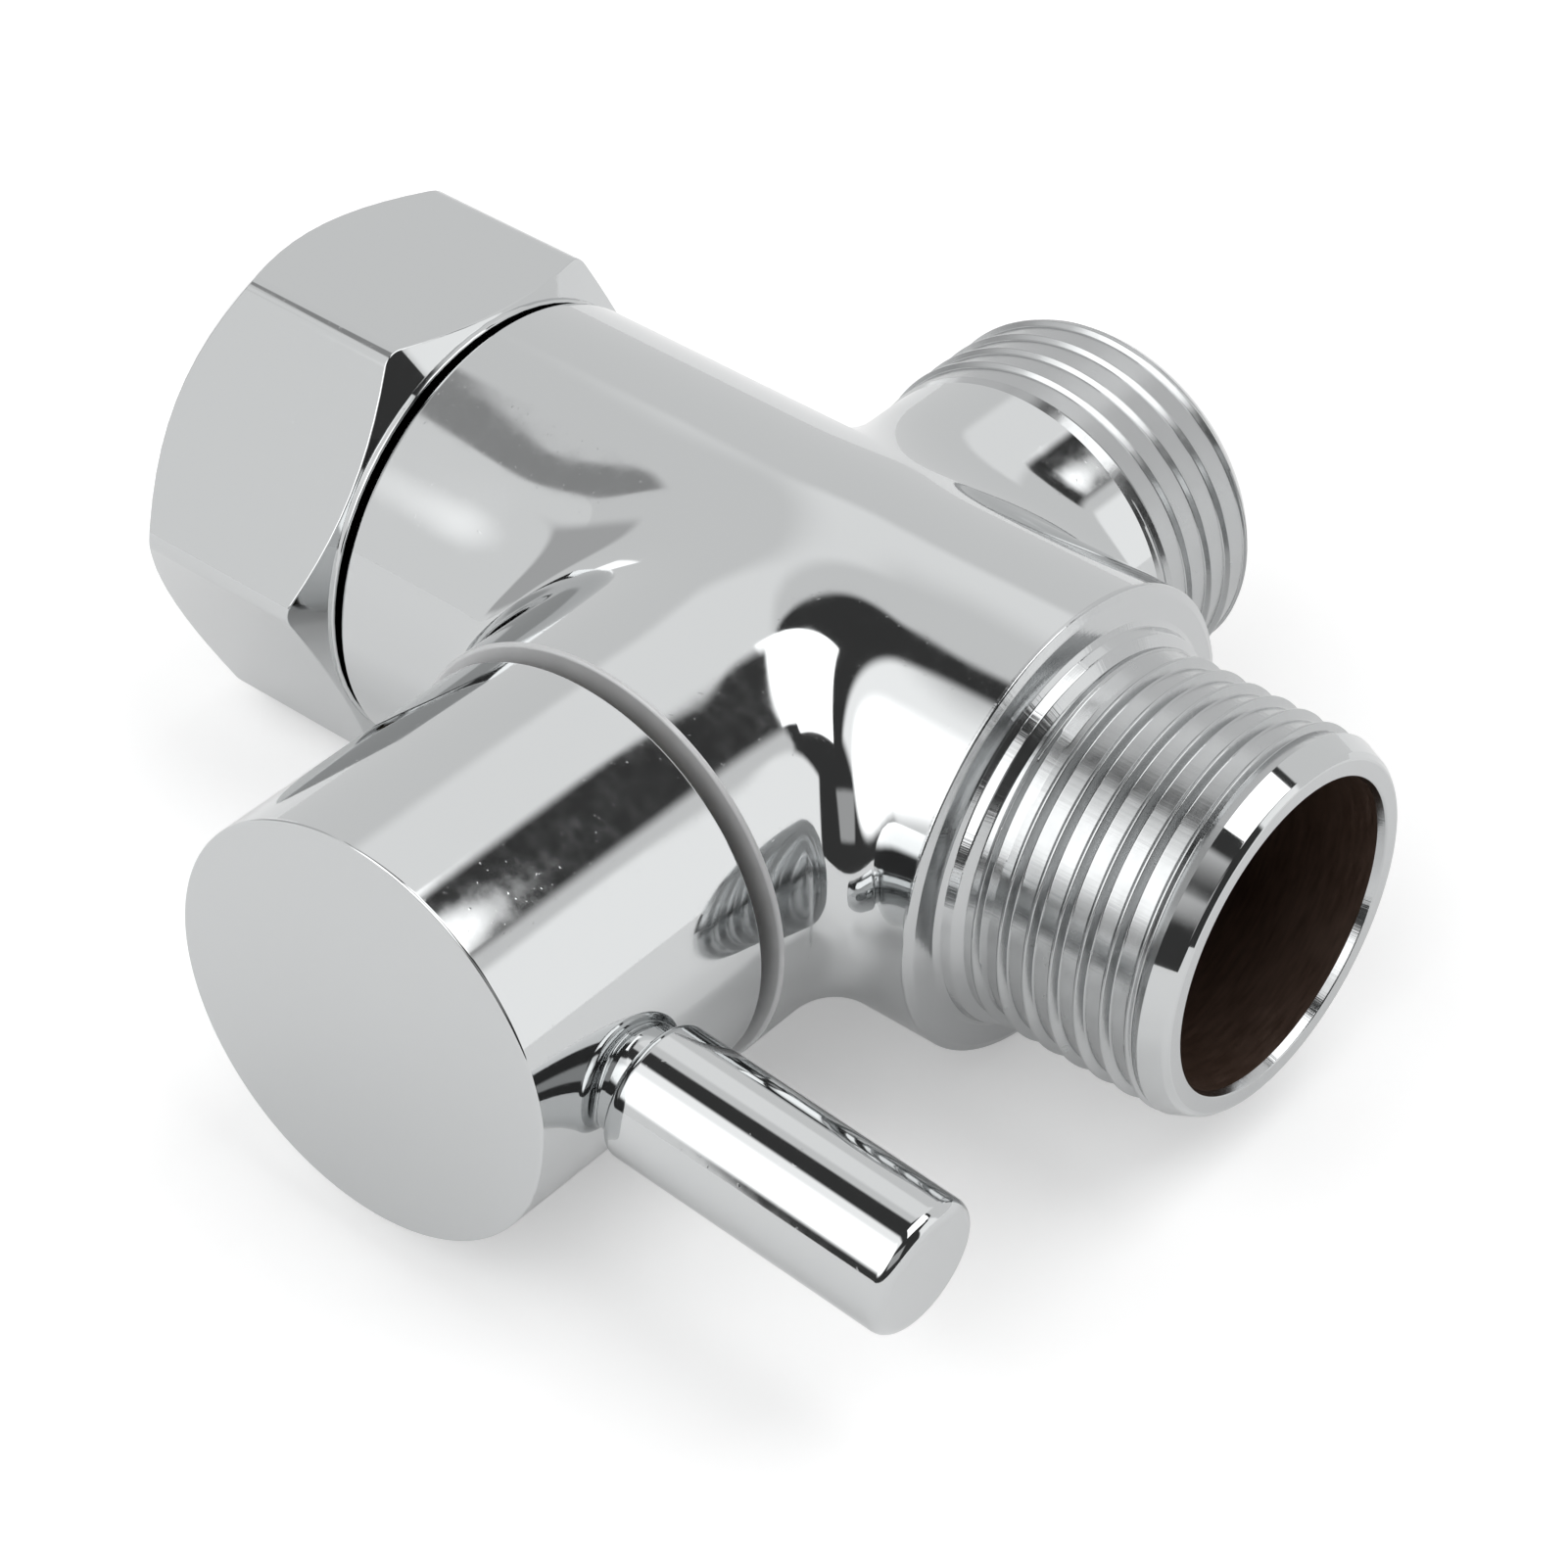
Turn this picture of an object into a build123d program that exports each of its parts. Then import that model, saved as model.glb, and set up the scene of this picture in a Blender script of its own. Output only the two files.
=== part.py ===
from build123d import *
from math import asin, cos, degrees, pi, radians, sin, tan
import os

# Shower diverter valve, in millimetres.
# X is the run: the swivel nut is at -X, the main outlet at +X. The side outlet
# points to +Y, the knob to -Y, and +Z is up. The origin is on the run's axis,
# at the inner end of the nut's thread.
# Places along the knob's axis are distances from the crossing of the axes
# towards the knob, so a place on the side outlet's half is negative.

# Threads, G 1/2: rings on the outlets, plain at the crests in the nut
thread_radius = 10.4775
thread_depth = 1.162
thread_end_chamfer = 0.6
thread_end_rim = 0.53
thread_groove_share = 0.58
thread_crest_width = 0.25
thread_root_width = 0.25
thread_groove_overcut = 0.05
outlet_thread_pitch = 1.5
side_thread_pitch = 1.814

# Run tube
run_radius = 13.0
inlet_shoulder_land = 6.3
outlet_shoulder_land = 0.5
shoulder_edge_round = 0.35
flow_radius = 4.6
inlet_bore_radius = 6.0
inlet_bore_end = 11.0

# Main outlet
outlet_length = 13.2
outlet_wall = 1.88
outlet_bore_depth = 17.0
thread_relief_width = 1.1
thread_relief_depth = 0.88

# Side outlet
side_neck_step = 0.88
side_neck_land = 0.4
side_neck_wall = 1.4
side_neck_fillet = 2.6
side_thread_length = 8.7

# Knob neck
knob_neck_inset = 0.9
knob_neck_land = 1.3
knob_neck_wall = 2.2
knob_neck_fillet = 3.6
knob_neck_edge_round = 0.3

# Swivel stub, its ring and the nut
stub_clearance = 0.12
stub_end_chamfer = 0.4
stub_beyond_ring = 1.0
nut_gap = 0.55
nut_length = 13.4
nut_flats = 26.0
nut_corner_round = 1.4
nut_corner_angle = 55.4
nut_rim_inset = 0.15
nut_rim_length = 0.4
nut_rim_chamfer_angle = 30.0
nut_mouth_chamfer_angle = 41.0
nut_wall = 2.6
nut_cavity_depth = 1.6
nut_thread_entry = 0.7
swivel_clearance = 0.08
ring_thickness = 1.1
ring_outer_gap = 0.6
ring_groove_depth = 0.8
ring_clearance = 0.08
ring_gap_angle = 30.0

# Gasket and screen
gasket_thickness = 2.0
gasket_overlap = 0.4
gasket_clearance = 0.6
gasket_thread_gap = 0.3
screen_ledge = 0.7
screen_thickness = 0.5
screen_hole_radius = 0.7
screen_hole_spacing = 2.2
screen_hole_rings = 2
screen_clearance = 0.05

# Valve chamber between the bonnet's seat and the chamber floor
bonnet_bore_depth = 6.9
bonnet_seat_width = 2.4
chamber_floor = 12.2
port_step = 2.6
port_length = 2.4
key_radius = 0.6
key_inset = 0.95
key_length = 2.4
key_clearance = 0.15

# Rotor and its pad
rotor_clearance = 0.1
rotor_plate_thickness = 2.4
rotor_wall = 1.8
rotor_wall_angle = 100.0
rotor_ring_height = 1.4
stem_share = 0.533
stem_clearance = 0.05
seal_pad_angle = 86.0
seal_pad_margin = 0.5
seal_pad_thickness = 0.9
seal_pad_clearance = 0.04
contact_gap = 0.02

# Discs and seat seal
disc_thickness = 1.9
disc_clearance = 0.15
disc_gap = 0.03
disc_port_inner_radius = 1.5
disc_port_land = 1.0
disc_port_angle = 80.0
drive_lug_angle = 16.0
drive_lug_clearance_angle = 1.0
drive_lug_depth = 1.1
drive_lug_height = 1.0
seat_seal_thickness = 1.2
seat_seal_wall = 2.2

# Bonnet, washer, clip and stop
bonnet_thread_clearance = 0.02
bonnet_recess = 0.7
bonnet_hexagon_step = 2.4
bonnet_hexagon_length = 3.0
bonnet_nose_length = 1.7
bonnet_nose_clearance = 0.15
bonnet_edge_chamfer = 0.3
washer_thickness = 0.65
washer_inset = 0.35
washer_bore_clearance = 0.15
end_play = 0.05
clip_thickness = 0.7
clip_width = 1.2
clip_groove_depth = 0.6
clip_clearance = 0.03
clip_gap_angle = 80.0
stop_pin_radius = 0.8
stop_pin_angle = 240.0
stop_pin_end_gap = 0.3
stop_pin_seat_depth = 2.0
quarter_turn = 90.0
stop_clearance_angle = 1.0

# O-rings
stem_o_ring_section = 0.47
stem_o_ring_pitch = 2.6
bonnet_o_ring_section = 0.6
o_ring_inset = 1.6
o_ring_groove_clearance = 0.1
o_ring_squeeze_gap = 0.01

# Knob, insert, set screw and lever
knob_gap = 0.9
knob_radius = 11.65
knob_length = 16.05
knob_front_chamfer = 0.3
knob_rear_chamfer = 0.25
knob_wall = 1.65
knob_cavity_depth = 5.6
knob_boss_gap = 1.45
knob_boss_wall = 1.9
stop_rib_wall = 1.7
stop_rib_height = 1.7
insert_wall = 1.4
insert_length = 7.6
insert_clearance = 0.01
spline_teeth = 18
spline_depth = 0.4
spline_step = 0.1
spline_clearance = 0.04
spline_tip_gap = 0.5
set_screw_radius = 2.0
set_screw_recess = 0.9
set_screw_end_gap = 0.05
set_screw_clearance = 0.01
set_screw_hexagon = 2.0
set_screw_hexagon_depth = 2.2
lever_radius = 3.65
lever_reach = 29.0
lever_height = 3.35
lever_drop_angle = 4.6
lever_seat_gap = 0.5
lever_base_chamfer = 0.3
lever_tip_chamfer = 0.35
lever_neck_step = 0.75
lever_shank_radius = 2.5
lever_shank_clearance = 0.01
lever_shank_wall = 0.5

# Places and sizes worked out from the values above. Those along the run are
# counted from the crossing of the axes, those of the inlet towards -X.
knob_neck_radius = run_radius - knob_neck_inset
thread_minor_radius = thread_radius - thread_depth
thread_end_rim_radius = thread_radius - thread_end_rim
thread_relief_radius = thread_radius - thread_relief_depth
outlet_bore_radius = thread_radius - outlet_wall
inlet_shoulder = knob_neck_radius + knob_neck_fillet + inlet_shoulder_land
outlet_shoulder = knob_neck_radius + knob_neck_fillet + outlet_shoulder_land
outlet_end = outlet_shoulder + outlet_length
outlet_step = outlet_end - outlet_bore_depth
side_neck_radius = thread_radius - side_neck_step
side_bore_radius = side_neck_radius - side_neck_wall
side_thread_start = run_radius + side_neck_fillet + side_neck_land
side_end = side_thread_start + side_thread_length
knob_neck_end = run_radius + knob_neck_fillet + knob_neck_land

nut_back = inlet_shoulder + nut_gap
nut_mouth = nut_back + nut_length
nut_corner_radius = nut_flats / 2 / cos(pi / 6)
nut_rim_radius = nut_flats / 2 - nut_rim_inset
nut_rim_rise = 1.2 * nut_corner_radius - nut_rim_radius
nut_rim_back = nut_rim_rise * tan(radians(nut_rim_chamfer_angle))
nut_rim_front = nut_rim_rise * tan(radians(nut_mouth_chamfer_angle))
nut_cavity_radius = thread_minor_radius + nut_cavity_depth
stub_radius = thread_minor_radius - stub_clearance
nut_bore_radius = stub_radius + swivel_clearance
ring_front = nut_back + nut_wall + ring_clearance
ring_back = ring_front + ring_thickness
ring_outer_radius = nut_cavity_radius - ring_outer_gap
groove_radius = stub_radius - ring_groove_depth
stub_end = ring_back + ring_clearance + stub_beyond_ring
gasket_hole_radius = inlet_bore_radius - gasket_overlap
screen_radius = inlet_bore_radius + screen_ledge
gasket_radius = nut_cavity_radius - gasket_clearance
gasket_face = stub_end + gasket_thickness
nut_thread_start = gasket_face + gasket_thread_gap
crossing = nut_thread_start

bonnet_seat = knob_neck_end - bonnet_bore_depth
bonnet_bore_radius = knob_neck_radius - knob_neck_wall
bonnet_nose_end = bonnet_seat - bonnet_nose_length
bonnet_barrel_end = knob_neck_end - bonnet_recess
bonnet_hexagon = 2 * (bonnet_bore_radius - bonnet_hexagon_step)
bonnet_end = bonnet_barrel_end + bonnet_hexagon_length
chamber_radius = bonnet_bore_radius - bonnet_seat_width
stem_radius = stem_share * chamber_radius
key_circle_radius = chamber_radius - key_inset
port_radius = chamber_radius - port_step
washer_top = bonnet_nose_end - end_play
washer_radius = chamber_radius - bonnet_nose_clearance - washer_inset

fixed_disc_floor = chamber_floor - seat_seal_thickness
disc_meeting = fixed_disc_floor - disc_thickness
moving_disc_top = disc_meeting - disc_gap - disc_thickness
disc_radius = chamber_radius - disc_clearance
disc_port_outer_radius = key_circle_radius - key_radius - key_clearance - disc_port_land
rotor_top = washer_top - washer_thickness
rotor_plate_bottom = rotor_top - rotor_plate_thickness
rotor_ring_bottom = moving_disc_top - contact_gap
rotor_ring_top = rotor_ring_bottom - rotor_ring_height
rotor_radius = chamber_radius - rotor_clearance
rotor_inner_radius = rotor_radius - rotor_wall
seal_pad_inner_radius = rotor_radius - seal_pad_thickness
lug_notch_radius = rotor_radius - drive_lug_depth - key_clearance
lug_notch_angle = drive_lug_angle + 2 * drive_lug_clearance_angle

stem_bore_radius = stem_radius + stem_clearance
stem_groove_width = 2 * stem_o_ring_section + 2 * o_ring_groove_clearance
stem_groove_radius = stem_bore_radius - o_ring_squeeze_gap - 2 * stem_o_ring_section
inner_ring_place = bonnet_seat + o_ring_inset
outer_ring_place = inner_ring_place + stem_o_ring_pitch
bonnet_groove_width = 2 * bonnet_o_ring_section + 2 * o_ring_groove_clearance
bonnet_groove_radius = bonnet_bore_radius - o_ring_squeeze_gap - 2 * bonnet_o_ring_section
bonnet_ring_place = bonnet_seat + o_ring_inset
clip_near = bonnet_end + end_play
clip_far = clip_near + clip_thickness
clip_radius = stem_radius + clip_width

knob_rear = knob_neck_end + knob_gap
knob_cavity_floor = knob_rear + knob_cavity_depth
knob_cavity_radius = knob_radius - knob_wall
knob_boss_rear = clip_far + knob_boss_gap
insert_radius = stem_radius + insert_wall
insert_end = knob_boss_rear + insert_length
knob_boss_radius = insert_radius + knob_boss_wall
stem_end = insert_end - spline_tip_gap
spline_start = knob_boss_rear - spline_tip_gap
spline_radius = stem_radius - spline_step
stop_pin_circle_radius = knob_boss_radius - stop_rib_wall / 2
stop_pin_end = knob_boss_rear - stop_pin_end_gap
pin_half_angle = degrees(asin(stop_pin_radius / stop_pin_circle_radius))
rib_opening = quarter_turn + 2 * pin_half_angle + 2 * stop_clearance_angle
rib_middle = stop_pin_angle + quarter_turn / 2 + 180

lever_position = knob_cavity_floor + lever_height
lever_base = knob_radius + lever_seat_gap
lever_shank_end = insert_radius + lever_shank_wall
lever_direction = (cos(radians(lever_drop_angle)), 0, -sin(radians(lever_drop_angle)))
lever_axis = Plane(origin=(crossing, -lever_position, 0), x_dir=(0, 1, 0), z_dir=lever_direction)
screw_direction = (-sin(radians(lever_drop_angle)), 0, -cos(radians(lever_drop_angle)))
screw_axis = Plane(origin=(crossing, -lever_position, 0), x_dir=(0, 1, 0), z_dir=screw_direction)
screw_outer_end = knob_radius - set_screw_recess
set_screw_length = screw_outer_end - insert_radius - set_screw_end_gap
knob_axis = Axis((crossing, 0, 0), (0, 1, 0))
knob_side_plane = Plane(origin=(crossing, 0, 0), x_dir=(1, 0, 0), z_dir=(0, 0, 1))
side_section_plane = Plane(origin=(crossing, 0, 0), x_dir=(0, 1, 0), z_dir=(1, 0, 0))


def run_plane(place):
    """Plane across the run, facing the main outlet, at a place counted from the crossing."""
    return Plane.YZ.offset(crossing + place)


def knob_plane(distance):
    """Plane across the knob's axis, facing the knob, at a distance from the crossing."""
    return Plane(origin=(crossing, -distance, 0), x_dir=(1, 0, 0), z_dir=(0, -1, 0))


def ring_sector(inner_radius, outer_radius, middle_angle, span):
    """Flat sector of a ring, whose middle lies at middle_angle from the sketch's x axis."""
    with BuildSketch(mode=Mode.PRIVATE) as sector:
        with BuildLine():
            outer = CenterArc((0, 0), outer_radius, middle_angle - span / 2, span)
            inner = CenterArc((0, 0), inner_radius, middle_angle - span / 2, span)
            Line(outer @ 0, inner @ 0)
            Line(outer @ 1, inner @ 1)
        make_face()
    return sector.sketch


def spline_outline(tip_radius):
    """Star shaped outline of the stem's spline with its tips at tip_radius."""
    root_radius = tip_radius - spline_depth
    points = []
    for step in range(2 * spline_teeth):
        radius = tip_radius if step % 2 == 0 else root_radius
        angle = pi * step / spline_teeth
        points.append((radius * cos(angle), radius * sin(angle)))
    return points


def disc_ports(middle_angle):
    """The two opposite flow windows of a ceramic disc."""
    with BuildSketch(mode=Mode.PRIVATE) as ports:
        for angle in (middle_angle, middle_angle + 180):
            add(ring_sector(disc_port_inner_radius, disc_port_outer_radius, angle, disc_port_angle))
    return ports.sketch


def thread_grooves(length, pitch):
    """Section of the grooves between a thread's crests, along +X from the thread's start at (0, 0).

    The axis of the thread is along X. The groove mouths lie a little outside the thread's radius.
    """
    depth = thread_groove_share * pitch
    flank = (pitch - thread_crest_width - thread_root_width) / 2
    mouth = thread_root_width / 2 + flank * (1 + thread_groove_overcut / depth)
    count = int((length - 2 * thread_crest_width) / pitch)
    with BuildSketch(mode=Mode.PRIVATE) as grooves:
        for turn in range(count):
            middle = thread_crest_width / 2 + (turn + 0.5) * pitch
            with Locations((middle, thread_radius)):
                Polygon(
                    (-mouth, thread_groove_overcut),
                    (-thread_root_width / 2, -depth),
                    (thread_root_width / 2, -depth),
                    (mouth, thread_groove_overcut),
                    align=None,
                )
    return grooves.sketch


def key_notches():
    """Notches at the top and the bottom of a disc, for the keys on the chamber floor."""
    inner_edge = key_circle_radius - key_radius - key_clearance
    half_width = key_radius + key_clearance
    with BuildSketch(mode=Mode.PRIVATE) as notches:
        with Locations((0, inner_edge), (0, -chamber_radius)):
            Rectangle(2 * half_width, chamber_radius - inner_edge, align=(Align.CENTER, Align.MIN))
    return notches.sketch


os.makedirs("parts", exist_ok=True)

# Valve body: run tube, knob neck and side neck as one forging, then turned
with BuildPart() as valve_body:
    with BuildSketch(run_plane(-inlet_shoulder)):
        Circle(run_radius)
    extrude(amount=inlet_shoulder + outlet_shoulder)
    with BuildSketch(knob_plane(0)):
        Circle(knob_neck_radius)
    extrude(amount=knob_neck_end)
    with BuildSketch(knob_plane(0)):
        Circle(side_neck_radius)
    extrude(amount=-side_thread_start)
    crossings = valve_body.edges().filter_by(GeomType.BSPLINE)
    knob_crossing = crossings.filter_by(lambda edge: edge.center().Y < 0)
    side_crossing = crossings.filter_by(lambda edge: edge.center().Y > 0)
    fillet(side_crossing, side_neck_fillet)
    fillet(knob_crossing, knob_neck_fillet)
    run_rims = valve_body.edges().filter_by(GeomType.CIRCLE).sort_by(Axis.X)
    fillet([run_rims[0], run_rims[-1]], shoulder_edge_round)
    knob_rim = valve_body.edges().filter_by(GeomType.CIRCLE).sort_by(Axis.Y)[0]
    fillet(knob_rim, knob_neck_edge_round)
    # Swivel stub with the ring's groove
    with BuildSketch(run_plane(-stub_end)):
        Circle(stub_radius)
    extrude(amount=stub_end - inlet_shoulder)
    stub_rim = valve_body.edges().filter_by(GeomType.CIRCLE).sort_by(Axis.X)[0]
    chamfer(stub_rim, stub_end_chamfer)
    with BuildSketch(run_plane(-ring_back - ring_clearance)):
        Circle(stub_radius + ring_groove_depth)
        Circle(groove_radius, mode=Mode.SUBTRACT)
    extrude(amount=ring_thickness + 2 * ring_clearance, mode=Mode.SUBTRACT)
    # Main outlet
    with BuildSketch(run_plane(outlet_shoulder)):
        Circle(thread_relief_radius)
    extrude(amount=thread_relief_width)
    with BuildSketch(run_plane(outlet_shoulder + thread_relief_width)):
        Circle(thread_radius)
    extrude(amount=outlet_length - thread_relief_width)
    outlet_rim = valve_body.edges().filter_by(GeomType.CIRCLE).sort_by(Axis.X)[-1]
    chamfer(outlet_rim, thread_end_chamfer, thread_radius - thread_end_rim_radius)
    outlet_thread_length = outlet_length - thread_relief_width - thread_end_chamfer
    with BuildSketch(knob_plane(0)):
        with Locations((outlet_shoulder + thread_relief_width, 0)):
            add(thread_grooves(outlet_thread_length, outlet_thread_pitch))
    revolve(axis=Axis.X, mode=Mode.SUBTRACT)
    # Side outlet
    with BuildSketch(knob_plane(-side_thread_start)):
        Circle(thread_radius)
    extrude(amount=-side_thread_length)
    side_rim = valve_body.edges().filter_by(GeomType.CIRCLE).sort_by(Axis.Y)[-1]
    chamfer(side_rim, thread_end_chamfer, thread_radius - thread_end_rim_radius)
    with BuildSketch(side_section_plane):
        with Locations((side_thread_start, 0)):
            add(thread_grooves(side_thread_length - thread_end_chamfer, side_thread_pitch))
    revolve(axis=knob_axis, mode=Mode.SUBTRACT)
    # Waterways
    with BuildSketch(knob_plane(-chamber_floor)):
        Circle(chamber_radius)
    extrude(amount=chamber_floor + bonnet_seat, mode=Mode.SUBTRACT)
    with BuildSketch(knob_plane(bonnet_seat)):
        Circle(bonnet_bore_radius)
    extrude(amount=knob_neck_end - bonnet_seat, mode=Mode.SUBTRACT)
    with BuildSketch(knob_plane(-chamber_floor - port_length)):
        Circle(port_radius)
    extrude(amount=port_length, mode=Mode.SUBTRACT)
    with BuildSketch(knob_plane(-side_end)):
        Circle(side_bore_radius)
    extrude(amount=side_end - chamber_floor - port_length, mode=Mode.SUBTRACT)
    with BuildSketch(run_plane(-inlet_bore_end)):
        Circle(flow_radius)
    extrude(amount=inlet_bore_end + outlet_step, mode=Mode.SUBTRACT)
    with BuildSketch(run_plane(outlet_step)):
        Circle(outlet_bore_radius)
    extrude(amount=outlet_bore_depth, mode=Mode.SUBTRACT)
    with BuildSketch(run_plane(-stub_end)):
        Circle(inlet_bore_radius)
    extrude(amount=stub_end - inlet_bore_end, mode=Mode.SUBTRACT)
    with BuildSketch(run_plane(-stub_end)):
        Circle(screen_radius + screen_clearance)
    extrude(amount=screen_thickness, mode=Mode.SUBTRACT)
    # Keys for the fixed disc on the chamber floor
    with BuildSketch(knob_plane(-chamber_floor)):
        with PolarLocations(key_circle_radius, 2, start_angle=90):
            Circle(key_radius)
    extrude(amount=key_length)
valve_body.part.label = "valve_body"
export_step(valve_body.part, "parts/valve_body.step")

# Inlet nut, free to turn on the stub
with BuildPart() as inlet_nut:
    with BuildSketch(run_plane(-nut_mouth)):
        RegularPolygon(nut_flats / 2, 6, major_radius=False, rotation=nut_corner_angle)
    extrude(amount=nut_length)
    fillet(inlet_nut.edges().filter_by(Axis.X), nut_corner_round)
    # Turned ends cut the corners back to round rims
    with BuildSketch(knob_plane(0)):
        with BuildLine():
            Polyline(
                (-nut_back, 0),
                (-nut_back, nut_rim_radius),
                (-nut_back - nut_rim_length, nut_rim_radius),
                (-nut_back - nut_rim_length - nut_rim_back, nut_rim_radius + nut_rim_rise),
                (-nut_mouth + nut_rim_front, nut_rim_radius + nut_rim_rise),
                (-nut_mouth, nut_rim_radius),
                (-nut_mouth, 0),
                close=True,
            )
        make_face()
    revolve(axis=Axis.X, mode=Mode.INTERSECT)
    with BuildSketch(run_plane(-nut_back - nut_wall)):
        Circle(nut_bore_radius)
    extrude(amount=nut_wall, mode=Mode.SUBTRACT)
    with BuildSketch(run_plane(-nut_thread_start)):
        Circle(nut_cavity_radius)
    extrude(amount=nut_thread_start - nut_back - nut_wall, mode=Mode.SUBTRACT)
    with BuildSketch(run_plane(-nut_mouth)):
        Circle(thread_minor_radius)
    extrude(amount=nut_mouth - nut_thread_start, mode=Mode.SUBTRACT)
    mouth_rims = inlet_nut.edges().filter_by(GeomType.CIRCLE).group_by(Axis.X)[0]
    chamfer(mouth_rims.sort_by(SortBy.RADIUS)[0], nut_thread_entry)
inlet_nut.part.label = "inlet_nut"
export_step(inlet_nut.part, "parts/inlet_nut.step")

# Split ring in the stub's groove, which keeps the nut on
with BuildPart() as nut_retaining_ring:
    with BuildSketch(run_plane(-ring_back)):
        add(ring_sector(groove_radius + ring_clearance, ring_outer_radius, -90, 360 - ring_gap_angle))
    extrude(amount=ring_thickness)
nut_retaining_ring.part.label = "nut_retaining_ring"
export_step(nut_retaining_ring.part, "parts/nut_retaining_ring.step")

# Washer between the stub and the pipe
with BuildPart() as inlet_gasket:
    with BuildSketch(run_plane(-gasket_face)):
        Circle(gasket_radius)
        Circle(gasket_hole_radius, mode=Mode.SUBTRACT)
    extrude(amount=gasket_thickness)
inlet_gasket.part.label = "inlet_gasket"
export_step(inlet_gasket.part, "parts/inlet_gasket.step")

# Perforated disc in the stub's mouth
with BuildPart() as inlet_screen:
    with BuildSketch(run_plane(-stub_end)):
        Circle(screen_radius)
        Circle(screen_hole_radius, mode=Mode.SUBTRACT)
        for ring in range(1, screen_hole_rings + 1):
            with PolarLocations(screen_hole_spacing * ring, 6 * ring):
                Circle(screen_hole_radius, mode=Mode.SUBTRACT)
    extrude(amount=screen_thickness)
inlet_screen.part.label = "inlet_screen"
export_step(inlet_screen.part, "parts/inlet_screen.step")

# Rotor: top plate, wall that covers the main outlet, bottom ring with its lugs, and the stem
with BuildPart() as rotor:
    with BuildSketch(knob_plane(rotor_plate_bottom)):
        Circle(rotor_radius)
    extrude(amount=rotor_plate_thickness)
    with BuildSketch(knob_plane(-rotor_ring_top)):
        add(ring_sector(rotor_inner_radius, rotor_radius, 90, rotor_wall_angle))
    extrude(amount=rotor_ring_top + rotor_plate_bottom)
    with BuildSketch(knob_plane(-rotor_ring_top)):
        Circle(rotor_radius)
        Circle(rotor_inner_radius, mode=Mode.SUBTRACT)
    extrude(amount=-rotor_ring_height)
    with BuildSketch(knob_plane(-rotor_ring_top)):
        for angle in (0, 180):
            add(ring_sector(rotor_radius - drive_lug_depth, rotor_radius, angle, drive_lug_angle))
    extrude(amount=-rotor_ring_height - drive_lug_height)
    with BuildSketch(knob_plane(-rotor_ring_top + seal_pad_margin)):
        add(ring_sector(seal_pad_inner_radius, chamber_radius, 90, seal_pad_angle))
    extrude(amount=rotor_ring_top + rotor_plate_bottom - 2 * seal_pad_margin, mode=Mode.SUBTRACT)
    # Stem, its spline and its grooves
    with BuildSketch(knob_plane(rotor_top)):
        Circle(stem_radius)
    extrude(amount=spline_start - rotor_top)
    with BuildSketch(knob_plane(spline_start)):
        Polygon(*spline_outline(spline_radius), align=None)
    extrude(amount=stem_end - spline_start)
    for place in (inner_ring_place, outer_ring_place):
        with BuildSketch(knob_plane(place - stem_groove_width / 2)):
            Circle(stem_radius + stem_clearance)
            Circle(stem_groove_radius, mode=Mode.SUBTRACT)
        extrude(amount=stem_groove_width, mode=Mode.SUBTRACT)
    with BuildSketch(knob_plane(clip_near - clip_clearance)):
        Circle(stem_radius + stem_clearance)
        Circle(stem_radius - clip_groove_depth, mode=Mode.SUBTRACT)
    extrude(amount=clip_thickness + 2 * clip_clearance, mode=Mode.SUBTRACT)
rotor.part.label = "rotor"
export_step(rotor.part, "parts/rotor.step")

# Rubber pad in the rotor's wall
with BuildPart() as rotor_seal:
    pad_span = seal_pad_angle - 2 * degrees(seal_pad_clearance / rotor_radius)
    pad_length = rotor_ring_top + rotor_plate_bottom - 2 * seal_pad_margin - 2 * seal_pad_clearance
    with BuildSketch(knob_plane(-rotor_ring_top + seal_pad_margin + seal_pad_clearance)):
        add(ring_sector(seal_pad_inner_radius + contact_gap, chamber_radius - seal_pad_clearance, 90, pad_span))
    extrude(amount=pad_length)
rotor_seal.part.label = "rotor_seal"
export_step(rotor_seal.part, "parts/rotor_seal.step")

# Ceramic disc driven by the rotor's lugs
with BuildPart() as moving_disc:
    with BuildSketch(knob_plane(-disc_meeting + disc_gap)):
        Circle(disc_radius)
        add(disc_ports(90), mode=Mode.SUBTRACT)
        for angle in (0, 180):
            add(ring_sector(lug_notch_radius, chamber_radius, angle, lug_notch_angle), mode=Mode.SUBTRACT)
    extrude(amount=disc_thickness)
moving_disc.part.label = "moving_disc"
export_step(moving_disc.part, "parts/moving_disc.step")

# Ceramic disc keyed to the body
with BuildPart() as fixed_disc:
    with BuildSketch(knob_plane(-fixed_disc_floor)):
        Circle(disc_radius)
        add(disc_ports(0), mode=Mode.SUBTRACT)
        add(key_notches(), mode=Mode.SUBTRACT)
    extrude(amount=disc_thickness)
fixed_disc.part.label = "fixed_disc"
export_step(fixed_disc.part, "parts/fixed_disc.step")

# Rubber seat under the fixed disc
with BuildPart() as seat_seal:
    with BuildSketch(knob_plane(-chamber_floor)):
        Circle(disc_radius)
        Circle(disc_radius - seat_seal_wall, mode=Mode.SUBTRACT)
        add(key_notches(), mode=Mode.SUBTRACT)
    extrude(amount=seat_seal_thickness)
seat_seal.part.label = "seat_seal"
export_step(seat_seal.part, "parts/seat_seal.step")

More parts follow.
